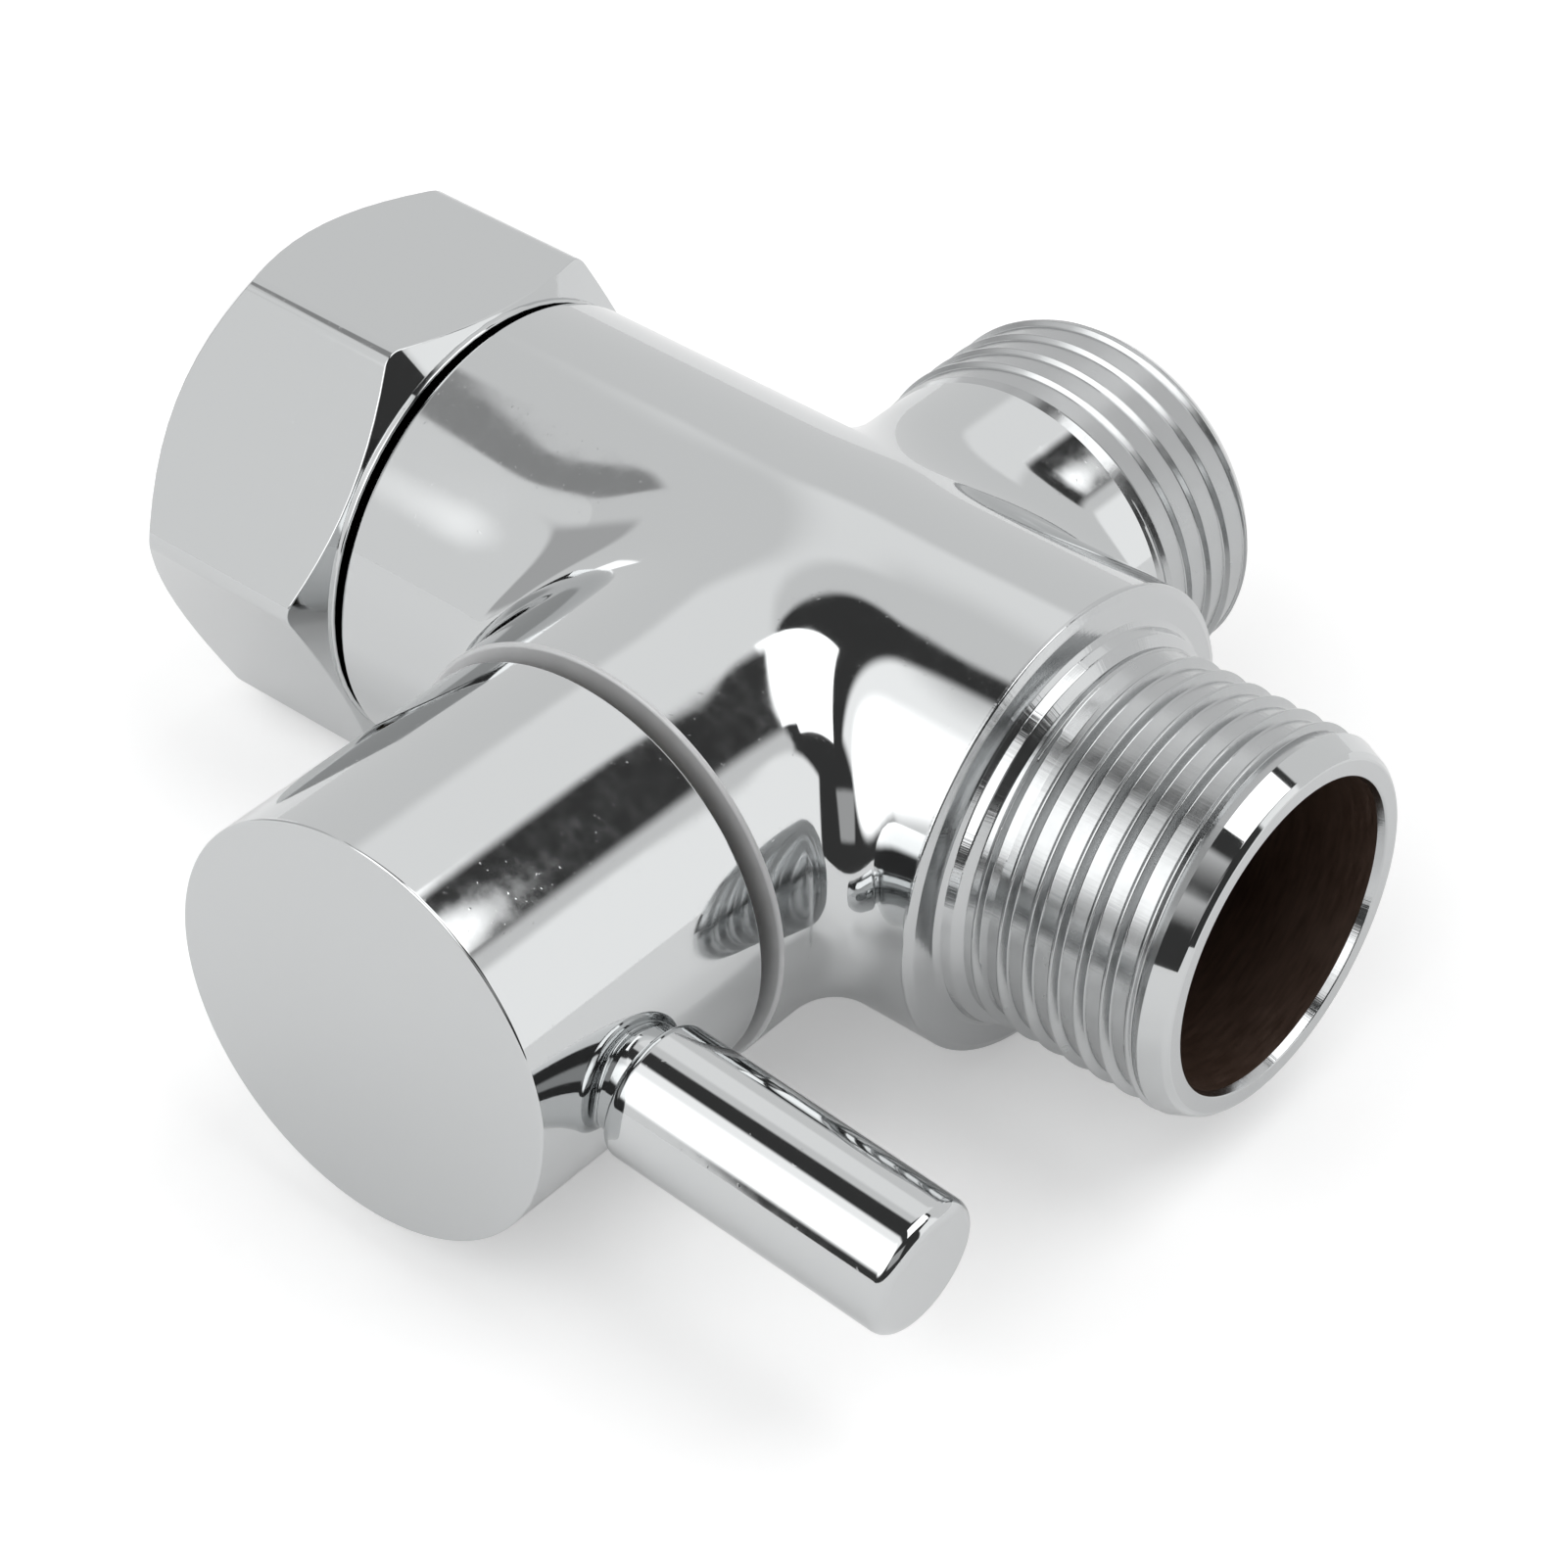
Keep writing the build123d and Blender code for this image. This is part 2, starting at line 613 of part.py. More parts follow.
# Bonnet: nose, threaded barrel and hexagon, bored for the stem
with BuildPart() as bonnet:
    with BuildSketch(knob_plane(bonnet_nose_end)):
        Circle(chamber_radius - bonnet_nose_clearance)
    extrude(amount=bonnet_nose_length)
    with BuildSketch(knob_plane(bonnet_seat)):
        Circle(bonnet_bore_radius - bonnet_thread_clearance)
    extrude(amount=bonnet_barrel_end - bonnet_seat)
    barrel_rim = bonnet.edges().filter_by(GeomType.CIRCLE).sort_by(Axis.Y)[0]
    chamfer(barrel_rim, bonnet_edge_chamfer)
    with BuildSketch(knob_plane(bonnet_barrel_end)):
        RegularPolygon(bonnet_hexagon / 2, 6, major_radius=False)
    extrude(amount=bonnet_hexagon_length)
    with BuildSketch(knob_plane(bonnet_nose_end)):
        Circle(stem_bore_radius)
    extrude(amount=bonnet_end - bonnet_nose_end, mode=Mode.SUBTRACT)
    with BuildSketch(knob_plane(bonnet_ring_place - bonnet_groove_width / 2)):
        Circle(bonnet_bore_radius)
        Circle(bonnet_groove_radius, mode=Mode.SUBTRACT)
    extrude(amount=bonnet_groove_width, mode=Mode.SUBTRACT)
    with BuildSketch(knob_plane(bonnet_end - stop_pin_seat_depth)):
        with PolarLocations(stop_pin_circle_radius, 1, start_angle=stop_pin_angle):
            Circle(stop_pin_radius)
    extrude(amount=stop_pin_seat_depth, mode=Mode.SUBTRACT)
bonnet.part.label = "bonnet"
export_step(bonnet.part, "parts/bonnet.step")

# O-rings on the bonnet and on the stem
with BuildPart() as bonnet_o_ring:
    with BuildSketch(knob_side_plane):
        with Locations((bonnet_bore_radius - o_ring_squeeze_gap - bonnet_o_ring_section, -bonnet_ring_place)):
            Circle(bonnet_o_ring_section)
    revolve(axis=knob_axis)
bonnet_o_ring.part.label = "bonnet_o_ring"
export_step(bonnet_o_ring.part, "parts/bonnet_o_ring.step")

with BuildPart() as inner_stem_o_ring:
    with BuildSketch(knob_side_plane):
        with Locations((stem_bore_radius - o_ring_squeeze_gap - stem_o_ring_section, -inner_ring_place)):
            Circle(stem_o_ring_section)
    revolve(axis=knob_axis)
inner_stem_o_ring.part.label = "inner_stem_o_ring"
export_step(inner_stem_o_ring.part, "parts/inner_stem_o_ring.step")

with BuildPart() as outer_stem_o_ring:
    with BuildSketch(knob_side_plane):
        with Locations((stem_bore_radius - o_ring_squeeze_gap - stem_o_ring_section, -outer_ring_place)):
            Circle(stem_o_ring_section)
    revolve(axis=knob_axis)
outer_stem_o_ring.part.label = "outer_stem_o_ring"
export_step(outer_stem_o_ring.part, "parts/outer_stem_o_ring.step")

# Plastic washer between the rotor and the bonnet
with BuildPart() as friction_washer:
    with BuildSketch(knob_plane(rotor_top)):
        Circle(washer_radius)
        Circle(stem_radius + washer_bore_clearance, mode=Mode.SUBTRACT)
    extrude(amount=washer_thickness)
friction_washer.part.label = "friction_washer"
export_step(friction_washer.part, "parts/friction_washer.step")

# Clip that holds the stem up in the bonnet
with BuildPart() as stem_clip:
    with BuildSketch(knob_plane(clip_near)):
        add(ring_sector(stem_radius - clip_groove_depth + contact_gap, clip_radius, 90, 360 - clip_gap_angle))
    extrude(amount=clip_thickness)
stem_clip.part.label = "stem_clip"
export_step(stem_clip.part, "parts/stem_clip.step")

# Stop pin in the bonnet's face
with BuildPart() as stop_pin:
    with BuildSketch(knob_plane(bonnet_end - stop_pin_seat_depth)):
        with PolarLocations(stop_pin_circle_radius, 1, start_angle=stop_pin_angle):
            Circle(stop_pin_radius)
    extrude(amount=stop_pin_end - bonnet_end + stop_pin_seat_depth)
stop_pin.part.label = "stop_pin"
export_step(stop_pin.part, "parts/stop_pin.step")

# Knob, hollow at the back round the boss and the stop rib
with BuildPart() as knob:
    with BuildSketch(knob_plane(knob_rear)):
        Circle(knob_radius)
    extrude(amount=knob_length)
    knob_rims = knob.edges().filter_by(GeomType.CIRCLE).sort_by(Axis.Y)
    chamfer(knob_rims[0], knob_front_chamfer)
    chamfer(knob_rims[-1], knob_rear_chamfer)
    with BuildSketch(knob_plane(knob_rear)):
        Circle(knob_cavity_radius)
    extrude(amount=knob_cavity_depth, mode=Mode.SUBTRACT)
    with BuildSketch(knob_plane(knob_boss_rear)):
        Circle(knob_boss_radius)
    extrude(amount=knob_cavity_floor - knob_boss_rear)
    with BuildSketch(knob_plane(knob_boss_rear - stop_rib_height)):
        add(ring_sector(knob_boss_radius - stop_rib_wall, knob_boss_radius, rib_middle, 360 - rib_opening))
    extrude(amount=stop_rib_height)
    with BuildSketch(knob_plane(knob_boss_rear)):
        Circle(insert_radius + insert_clearance)
    extrude(amount=insert_length + contact_gap, mode=Mode.SUBTRACT)
    with BuildSketch(lever_axis):
        Circle(lever_shank_radius + lever_shank_clearance)
    extrude(amount=knob_radius + lever_seat_gap, mode=Mode.SUBTRACT)
    with BuildSketch(screw_axis):
        Circle(set_screw_radius + set_screw_clearance)
    extrude(amount=knob_radius + lever_seat_gap, mode=Mode.SUBTRACT)
knob.part.label = "knob"
export_step(knob.part, "parts/knob.step")

# Splined sleeve in the knob
with BuildPart() as knob_insert:
    with BuildSketch(knob_plane(knob_boss_rear)):
        Circle(insert_radius)
        Polygon(*spline_outline(spline_radius + spline_clearance), align=None, mode=Mode.SUBTRACT)
    extrude(amount=insert_length)
knob_insert.part.label = "knob_insert"
export_step(knob_insert.part, "parts/knob_insert.step")

# Set screw with a hexagon socket
with BuildPart() as knob_set_screw:
    with BuildSketch(screw_axis.offset(insert_radius + set_screw_end_gap)):
        Circle(set_screw_radius)
    extrude(amount=set_screw_length)
    with BuildSketch(screw_axis.offset(screw_outer_end)):
        RegularPolygon(set_screw_hexagon / 2, 6, major_radius=False)
    extrude(amount=-set_screw_hexagon_depth, mode=Mode.SUBTRACT)
knob_set_screw.part.label = "knob_set_screw"
export_step(knob_set_screw.part, "parts/knob_set_screw.step")

# Lever: pin, neck against the knob and shank in its socket
with BuildPart() as lever:
    with BuildSketch(lever_axis.offset(lever_base)):
        Circle(lever_radius)
    extrude(amount=lever_reach - lever_base)
    lever_rims = lever.edges().filter_by(GeomType.CIRCLE).sort_by(Axis.X)
    chamfer(lever_rims[0], lever_base_chamfer)
    chamfer(lever_rims[-1], lever_tip_chamfer)
    with BuildSketch(lever_axis.offset(knob_radius + contact_gap)):
        Circle(lever_radius - lever_neck_step)
    extrude(amount=lever_seat_gap)
    with BuildSketch(lever_axis.offset(lever_shank_end)):
        Circle(lever_shank_radius)
    extrude(amount=lever_base - lever_shank_end)
lever.part.label = "lever"
export_step(lever.part, "parts/lever.step")
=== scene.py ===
from math import cos, pi, radians, sin, tan

import bpy
import numpy as np
from mathutils import Matrix, Vector


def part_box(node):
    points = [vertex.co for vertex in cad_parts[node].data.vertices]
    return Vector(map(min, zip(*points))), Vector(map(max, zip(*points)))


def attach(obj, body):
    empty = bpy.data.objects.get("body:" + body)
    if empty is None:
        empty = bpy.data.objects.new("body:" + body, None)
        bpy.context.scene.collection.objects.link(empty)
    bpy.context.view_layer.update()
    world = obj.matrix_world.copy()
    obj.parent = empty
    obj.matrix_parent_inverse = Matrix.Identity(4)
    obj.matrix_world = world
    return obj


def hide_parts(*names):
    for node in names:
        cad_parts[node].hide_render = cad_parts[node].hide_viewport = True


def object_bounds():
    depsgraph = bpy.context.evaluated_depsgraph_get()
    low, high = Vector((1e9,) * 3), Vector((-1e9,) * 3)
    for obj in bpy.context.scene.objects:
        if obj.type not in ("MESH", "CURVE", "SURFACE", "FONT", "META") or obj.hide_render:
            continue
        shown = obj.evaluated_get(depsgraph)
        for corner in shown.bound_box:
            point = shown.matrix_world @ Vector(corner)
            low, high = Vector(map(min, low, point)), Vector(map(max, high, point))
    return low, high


# Shower diverter valve. Sizes below are in millimetres, counted from the
# crossing of the axes, and are turned into metres of the shared frame at the end.

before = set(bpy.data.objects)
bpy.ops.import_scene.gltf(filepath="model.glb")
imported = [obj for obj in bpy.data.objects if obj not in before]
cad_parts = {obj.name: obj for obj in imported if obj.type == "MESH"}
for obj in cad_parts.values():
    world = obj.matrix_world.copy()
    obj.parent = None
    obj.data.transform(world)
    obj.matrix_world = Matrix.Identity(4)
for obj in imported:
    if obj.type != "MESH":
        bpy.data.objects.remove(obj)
cad_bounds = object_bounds()

CROSSING = 29.71
INLET_SHOULDER = -22.0
OUTLET_END = 29.4
SIDE_START = 16.2
SIDE_END = 24.7
NECK_END = 17.9
RUN_R = 13.0
KNOB_NECK_R = 12.1
SIDE_NECK_R = 10.1
THREAD_R = 10.4775
THREAD_MINOR_R = 9.3155
STUB_R = 9.1955
STUB_END = -27.41
NUT_BACK = -22.55
NUT_MOUTH = -35.95
PLATED, TURNED, BORE, SATIN = range(4)


class Shell:
    """Collects patches of exact points and normals, in millimetres, into one mesh."""

    def __init__(self):
        self.points, self.normals, self.faces, self.paints, self.count = [], [], [], [], 0

    def grid(self, points, normals, close=False, paint=PLATED):
        """Adds a grid of points, of shape (rows, columns, 3). close joins the last row to the first,
        and paint is the number of the material."""
        points = np.asarray(points, float)
        normals = np.asarray(normals, float)
        if close:
            points = np.concatenate([points, points[:1]])
            normals = np.concatenate([normals, normals[:1]])
        rows, columns = points.shape[:2]
        length = np.linalg.norm(normals, axis=2, keepdims=True)
        normals = normals / np.maximum(length, 1e-12)
        index = np.arange(rows * columns).reshape(rows, columns) + self.count
        quads = np.stack(
            [index[:-1, :-1], index[1:, :-1], index[1:, 1:], index[:-1, 1:]], -1
        ).reshape(-1, 4)
        flat = points.reshape(-1, 3)
        corner = flat[quads - self.count]
        facing = np.cross(corner[:, 2] - corner[:, 0], corner[:, 3] - corner[:, 1])
        area = np.linalg.norm(facing, axis=1)
        mean_normal = normals.reshape(-1, 3)[quads - self.count].mean(1)
        backwards = (facing * mean_normal).sum(1) < 0
        quads[backwards] = quads[backwards][:, ::-1]
        keep = area > 1e-7
        for quad in quads[keep].tolist():
            corners = []
            for vertex in quad:
                place = flat[vertex - self.count]
                if all(np.abs(place - flat[c - self.count]).max() > 1e-7 for c in corners):
                    corners.append(vertex)
            if len(corners) >= 3:
                self.faces.append(corners)
                self.paints.append(paint)
        self.points.append(flat)
        self.normals.append(normals.reshape(-1, 3))
        self.count += len(flat)

    def build(self, name, body):
        """Turns the patches into an object that rides on a body of the frame."""
        points = np.concatenate(self.points)
        points = (points + np.array([CROSSING, 0, 0])) * 0.001
        mesh = bpy.data.meshes.new(name)
        mesh.from_pydata(points.tolist(), [], self.faces)
        mesh.polygons.foreach_set("use_smooth", [True] * len(self.faces))
        mesh.polygons.foreach_set("material_index", self.paints)
        mesh.update()
        mesh.normals_split_custom_set_from_vertices(np.concatenate(self.normals).tolist())
        obj = bpy.data.objects.new(name, mesh)
        bpy.context.scene.collection.objects.link(obj)
        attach(obj, body)
        return obj


def run_axis(a, r, angle):
    """Cylinder coordinates about the run: a along +X, angle from +Y to +Z."""
    return np.stack(np.broadcast_arrays(a, r * np.cos(angle), r * np.sin(angle)), -1)


def side_axis(a, r, angle):
    """Cylinder coordinates about the side outlet: a along +Y, angle from +Z to +X."""
    return np.stack(np.broadcast_arrays(r * np.sin(angle), a, r * np.cos(angle)), -1)


def knob_axis(a, r, angle):
    """Cylinder coordinates about the knob: a towards the knob, angle from +X to +Z."""
    return np.stack(np.broadcast_arrays(r * np.cos(angle), -a, r * np.sin(angle)), -1)


LEVER_DROP = radians(4.6)
LEVER_PLACE = 27.75


def lever_axis(a, r, angle):
    """Cylinder coordinates about the lever: a outwards, angle from +Y towards the lever's top."""
    along = (cos(LEVER_DROP), 0.0, -sin(LEVER_DROP))
    top = (sin(LEVER_DROP), 0.0, cos(LEVER_DROP))
    y, z = r * np.cos(angle), r * np.sin(angle)
    return np.stack(
        np.broadcast_arrays(a * along[0] + z * top[0], y, a * along[2] + z * top[2]), -1
    )


def rounded_profile(corners, steps=6):
    """Splits a profile of (a, r, rounding) corners into straight and rounded strips.
    Each strip is (places, tangents), and the strips' tangents meet smoothly at each rounding."""
    strips = []
    last = None
    count = len(corners)
    for i, (a, r, rounding) in enumerate(corners):
        p = np.array([a, r], float)
        if i in (0, count - 1) or rounding <= 0:
            if last is not None:
                strips.append(([last, p], [(p - last)] * 2))
            last = p
            continue
        before = p - np.array(corners[i - 1][:2], float)
        after = np.array(corners[i + 1][:2], float) - p
        t0, t1 = before / np.linalg.norm(before), after / np.linalg.norm(after)
        turn = np.arccos(np.clip(t0 @ t1, -1, 1))
        cut = rounding * tan(turn / 2)
        start, end = p - t0 * cut, p + t1 * cut
        side = t1 - t0 * (t0 @ t1)
        side = side / np.linalg.norm(side)
        centre = start + side * rounding
        strips.append(([last, start], [t0, t0]))
        places, tangents = [], []
        for step in range(steps + 1):
            w = turn * step / steps
            tangent = t0 * cos(w) + side * sin(w)
            places.append(centre - side * rounding * cos(w) + t0 * rounding * sin(w))
            tangents.append(tangent)
        strips.append((places, tangents))
        last = end
    return strips


def lathe(shell, axis, corners, segments=224, inside=False, steps=6, offset=None, paint=PLATED):
    """Turns a profile about an axis. The metal lies to the right of the profile's direction
    of travel when a runs to the right and r up, or to its left for inside=True."""
    angle = np.linspace(0, 2 * pi, segments + 1)[:, None]
    centre = np.zeros(3) if offset is None else np.array(offset)
    for places, tangents in rounded_profile(corners, steps):
        places, tangents = np.array(places), np.array(tangents)
        if np.abs(places[0] - places[-1]).max() < 1e-9 and len(places) == 2:
            continue
        a, r = places[:, 0][None, :], places[:, 1][None, :]
        na, nr = -tangents[:, 1][None, :], tangents[:, 0][None, :]
        if inside:
            na, nr = -na, -nr
        points = axis(a, r, angle) + centre
        normals = axis(na + 0 * angle, nr + 0 * angle, angle)
        shell.grid(points, normals, paint=paint)


def thread_form(pitch, crest, root, crest_flat, root_flat, crest_round, root_round):
    """Profile of one thread pitch with rounded corners: arrays of place, radius and slope."""
    flank = (pitch - crest_flat - root_flat) / 2
    corners = [
        (0.0, root, 0.0),
        (root_flat / 2, root, root_round),
        (root_flat / 2 + flank, crest, crest_round),
        (root_flat / 2 + flank + crest_flat, crest, crest_round),
        (pitch - root_flat / 2, root, root_round),
        (pitch, root, 0.0),
    ]
    samples = []
    for places, tangents in rounded_profile(corners, steps=3):
        for place, tangent in zip(places, tangents):
            slope = tangent[1] / max(tangent[0], 1e-6)
            if not samples or abs(place[0] - samples[-1][0]) > 1e-6:
                samples.append((place[0], place[1], slope))
    places, radii, slopes = np.array(samples[:-1]).T
    even = np.arange(0.0, pitch, pitch / 20)
    between = even[np.abs(even[:, None] - places).min(1) > pitch / 60]
    every = np.sort(np.concatenate([places, between]))
    return every, *(np.interp(every, places, value, period=pitch) for value in (radii, slopes))


def broken_line(*corners):
    """Line through (a, r) corners, as a function that gives the radius and slope at a."""
    a, r = np.array(corners, float).T
    rises = np.diff(r) / np.diff(a)

    def line(place):
        part = np.clip(np.searchsorted(a, place, side="right") - 1, 0, len(rises) - 1)
        return np.interp(place, a, r), rises[part]

    return line


def helix(shell, axis, start, end, form, pitch, low, high, crest_at, segments=240, inside=False):
    """Thread surface from start to end, kept between the lines low and high, which turn down its
    ends and let its grooves run out. crest_at is the place and the angle of one crest."""
    places, radii, slopes = form
    turns = int((end - start) / pitch) + 3
    angle = np.linspace(0, 2 * pi, segments + 1)[:, None]
    phase = ((crest_at[0] - start) / pitch - crest_at[1] / (2 * pi) - 0.5) % 1.0
    shift = start + (phase - 2) * pitch + pitch * angle / (2 * pi)
    base = np.concatenate([places + pitch * turn for turn in range(turns)])[None, :]
    a = np.clip(shift + base, start, end)
    along = (a - shift) % pitch
    radius = np.interp(along, places, radii, period=pitch)
    slope = np.interp(along, places, slopes, period=pitch)
    floor, floor_slope = low(a)
    top, top_slope = high(a)
    under, over = radius < floor, radius > top
    swirl = np.where(under | over, 0.0, slope * pitch / (2 * pi) / radius)
    slope = np.where(under, floor_slope, np.where(over, top_slope, slope))
    radius = np.clip(radius, floor, top)
    sign = -1.0 if inside else 1.0
    outward = axis(-slope, 1.0 + 0 * a, angle)
    around = axis(0 * a, 1.0 + 0 * a, angle + pi / 2)
    shell.grid(axis(a, radius, angle), sign * (outward + around * swirl[..., None]))


def crossing_curve(neck_r, fillet, side, count=161):
    """Ball centres of the fillet between the run and a neck, half way round the neck from the
    bottom to the top, on its +X side. side is -1 for the knob's neck and +1 for the side outlet's."""
    around = np.linspace(-pi / 2, pi / 2, count)
    x = (neck_r + fillet) * np.cos(around)
    z = (neck_r + fillet) * np.sin(around)
    y = side * np.sqrt((RUN_R + fillet) ** 2 - z**2)
    return np.stack([x, y, z], -1)


def smooth_step(value):
    value = np.clip(value, 0.0, 1.0)
    return value * value * (3.0 - 2.0 * value)


def forging_normals(points):
    """Normals of the run and its necks, which pass into one another over the reaches of BLENDS, so that
    the reflections on the forging run on smoothly across the fillets' edges."""
    x, y, z = points[..., 0], points[..., 1], points[..., 2]
    towards_side = smooth_step(0.5 + y / (2 * NECK_CHANGE))
    neck_r = KNOB_NECK_R + (SIDE_NECK_R - KNOB_NECK_R) * towards_side
    from_run, from_neck = np.hypot(y, z), np.hypot(x, z)
    nearer = (from_run - RUN_R) - (from_neck - neck_r)
    share = 0
    for reach, side_reach, part in BLENDS:
        reach = reach + (side_reach - reach) * towards_side
        share = share + smooth_step(0.5 + 0.5 * nearer / reach) * part
    share = share[..., None]
    on_run = np.stack([0 * x, y, z], -1) / from_run[..., None]
    on_neck = np.stack([x, -SIDE_NECK_FLARE * towards_side * from_neck, z], -1) / from_neck[..., None]
    return (1 - share) * on_run + share * on_neck


def neck(shell, neck_r, fillet, side, neck_end, rings=14):
    """Fillet and straight wall of a neck. Returns the curve where its fillet leaves the run."""
    half = crossing_curve(neck_r, fillet, side)
    mirrored = half[::-1] * np.array([-1, 1, 1])
    centres = np.concatenate([half[:-1], mirrored[:-1]])
    on_run = centres * np.array([1, RUN_R / (RUN_R + fillet), RUN_R / (RUN_R + fillet)])
    scale = neck_r / (neck_r + fillet)
    on_neck = centres * np.array([scale, 1, scale])
    a = (on_run - centres) / fillet
    b = (on_neck - centres) / fillet
    turn = np.arccos(np.clip((a * b).sum(1), -1, 1))[:, None]
    small = turn < 1e-4
    safe = np.where(small, 1.0, np.sin(turn))
    points = []
    for w in np.linspace(0, 1, rings + 1):
        arc = (np.sin((1 - w) * turn) * a + np.sin(w * turn) * b) / safe
        points.append(centres + fillet * np.where(small, (1 - w) * a + w * b, arc))
    points = np.stack(points, 1)
    shell.grid(points, forging_normals(points), close=True)
    up_the_wall = np.array([0, 1, 0]) * (side * neck_end - on_neck[:, 1:2])
    wall = np.stack([on_neck + w * up_the_wall for w in np.linspace(0, 1, 13)], 1)
    shell.grid(wall, forging_normals(wall), close=True)
    return on_run[: len(half)]


def forging(shell, knob_fillet, side_fillet, left, right, knob_end, side_end):
    """Run tube with both necks, from left to right along the run."""
    angles, edges = [], []
    for leave in (
        neck(shell, SIDE_NECK_R, side_fillet, 1, side_end),
        neck(shell, KNOB_NECK_R, knob_fillet, -1, knob_end),
    ):
        angle = np.arctan2(leave[:, 2], leave[:, 1])
        angle = np.where(leave[:, 1] < 0, angle % (2 * pi), angle)
        order = np.argsort(angle)
        if angles:
            gap = np.linspace(angles[-1][-1], angle[order][0], 34)[1:-1]
            angles.append(gap)
            edges.append(0 * gap)
        angles.append(angle[order])
        edges.append(leave[order, 0])
    gap = np.linspace(angles[-1][-1], angles[0][0] + 2 * pi, 34)[1:]
    angles.append(gap)
    edges.append(np.append(0 * gap[1:], edges[0][0]))
    angle = np.concatenate(angles)[:, None]
    edge = np.maximum(np.concatenate(edges), 0)[:, None]
    for end, sign in ((right, 1), (left, -1)):
        w = (1 - np.cos(np.linspace(0, pi / 2, 40)))[None, :]
        points = run_axis(sign * edge + (end - sign * edge) * w, RUN_R, angle)
        shell.grid(points, forging_normals(points))


def ported_chamber(shell, start, end):
    """Wall of the chamber from start to end, with a port towards both ends of the run, and the
    channels that lead outwards from the ports."""
    whole = np.linspace(0, 2 * pi, 193)[:, None]
    way = np.linspace(0, 2 * pi, 65)[:, None]
    share = np.linspace(0, 1, 5)[None, :]
    square = 1 / np.maximum(np.abs(np.cos(way)), np.abs(np.sin(way)))

    def wall(place, angle):
        inward = knob_axis(0 * place, -1.0 + 0 * place, angle)
        shell.grid(knob_axis(place, CHAMBER_R, angle), inward, paint=BORE)

    wall(np.linspace(start, -PORT_WINDOW, 4)[None, :], whole)
    wall(np.linspace(PORT_WINDOW, end, 4)[None, :], whole)
    for middle, sign, outer in ((0.0, 1, OUTLET_CHANNEL), (pi, -1, INLET_CHANNEL)):
        beside = np.linspace(middle + PORT_ANGLE, middle + pi - PORT_ANGLE, 65)[:, None]
        wall(np.linspace(-PORT_WINDOW, PORT_WINDOW, 4)[None, :], beside)
        rim = PORT_R * np.cos(way), np.arcsin(PORT_R * np.sin(way) / CHAMBER_R)
        window = PORT_WINDOW * np.cos(way) * square, PORT_ANGLE * np.sin(way) * square
        place, lean = ((1 - share) * near + share * far for near, far in zip(rim, window))
        wall(place, middle + lean)
        at_wall = sign * np.sqrt(CHAMBER_R**2 - (PORT_R * np.sin(way)) ** 2)
        place = at_wall + (outer - at_wall) * np.array([[0, 1]])
        inward = run_axis(0 * place, -1.0 + 0 * place, way)
        shell.grid(run_axis(place, PORT_R, way), inward, paint=BORE)


# Valve body
CHAMBER_R, PORT_R = 7.5, 4.6
PORT_WINDOW, PORT_ANGLE = 5.6, 0.85
INLET_CHANNEL, OUTLET_CHANNEL = -11.0, 12.4
BLENDS = ((3.0, 3.0, 0.75), (6.5, 3.5, 0.25))
NECK_CHANGE, SIDE_NECK_FLARE = 6.0, 0.08
SHOULDER_EDGE = 15.75
KNOB_FILLET, SIDE_FILLET = 3.6, 2.6
INLET_ROUND, SHOULDER_ROUND, NECK_ROUND = 0.3, 0.2, 0.22
RING_START, RING_END, RING_FLOOR_R = -26.41, -25.15, 8.4
STUB_CHAMFER, SCREEN_RECESS_R, SCREEN_RECESS, INLET_R = 0.4, 6.75, 0.5, 6.0
body = Shell()
forging(
    body,
    KNOB_FILLET,
    SIDE_FILLET,
    left=INLET_SHOULDER + INLET_ROUND,
    right=SHOULDER_EDGE - SHOULDER_ROUND,
    knob_end=NECK_END - NECK_ROUND,
    side_end=SIDE_START,
)
inlet_outside = [
    (STUB_END, SCREEN_RECESS_R, 0),
    (STUB_END, STUB_R - STUB_CHAMFER, 0.05),
    (STUB_END + STUB_CHAMFER, STUB_R, 0.05),
    (RING_START, STUB_R, 0),
    (RING_START, RING_FLOOR_R, 0),
    (RING_END, RING_FLOOR_R, 0),
    (RING_END, STUB_R, 0),
    (INLET_SHOULDER, STUB_R, 0),
    (INLET_SHOULDER, RUN_R, INLET_ROUND),
    (INLET_SHOULDER + INLET_ROUND, RUN_R, 0),
]
lathe(body, run_axis, inlet_outside)
inlet_bore = [
    (STUB_END, SCREEN_RECESS_R, 0),
    (STUB_END + SCREEN_RECESS, SCREEN_RECESS_R, 0),
    (STUB_END + SCREEN_RECESS, INLET_R, 0),
    (INLET_CHANNEL, INLET_R, 0),
    (INLET_CHANNEL, PORT_R, 0),
]
lathe(body, run_axis, inlet_bore, inside=True, paint=BORE)

# Turned shoulder and end of the main outlet; its thread lies between them
OUTLET_THREAD_START, OUTLET_THREAD_END = 17.4, 28.0
RUN_OUT_R, BAND_R = 10.3, 10.42
OUTLET_FACE_R, OUTLET_BORE_R, OUTLET_MOUTH = 9.6, 8.6, 0.45
shoulder = [
    (SHOULDER_EDGE - SHOULDER_ROUND, RUN_R, 0),
    (SHOULDER_EDGE, RUN_R, 0.16),
    (SHOULDER_EDGE + 0.25, 12.5, 0.3),
    (SHOULDER_EDGE + 0.5, 11.3, 0.08),
    (SHOULDER_EDGE + 0.7, 11.0, 0.15),
    (17.0, 10.85, 0.2),
    (OUTLET_THREAD_START, RUN_OUT_R, 0),
]
lathe(body, run_axis, shoulder, paint=TURNED, steps=5)
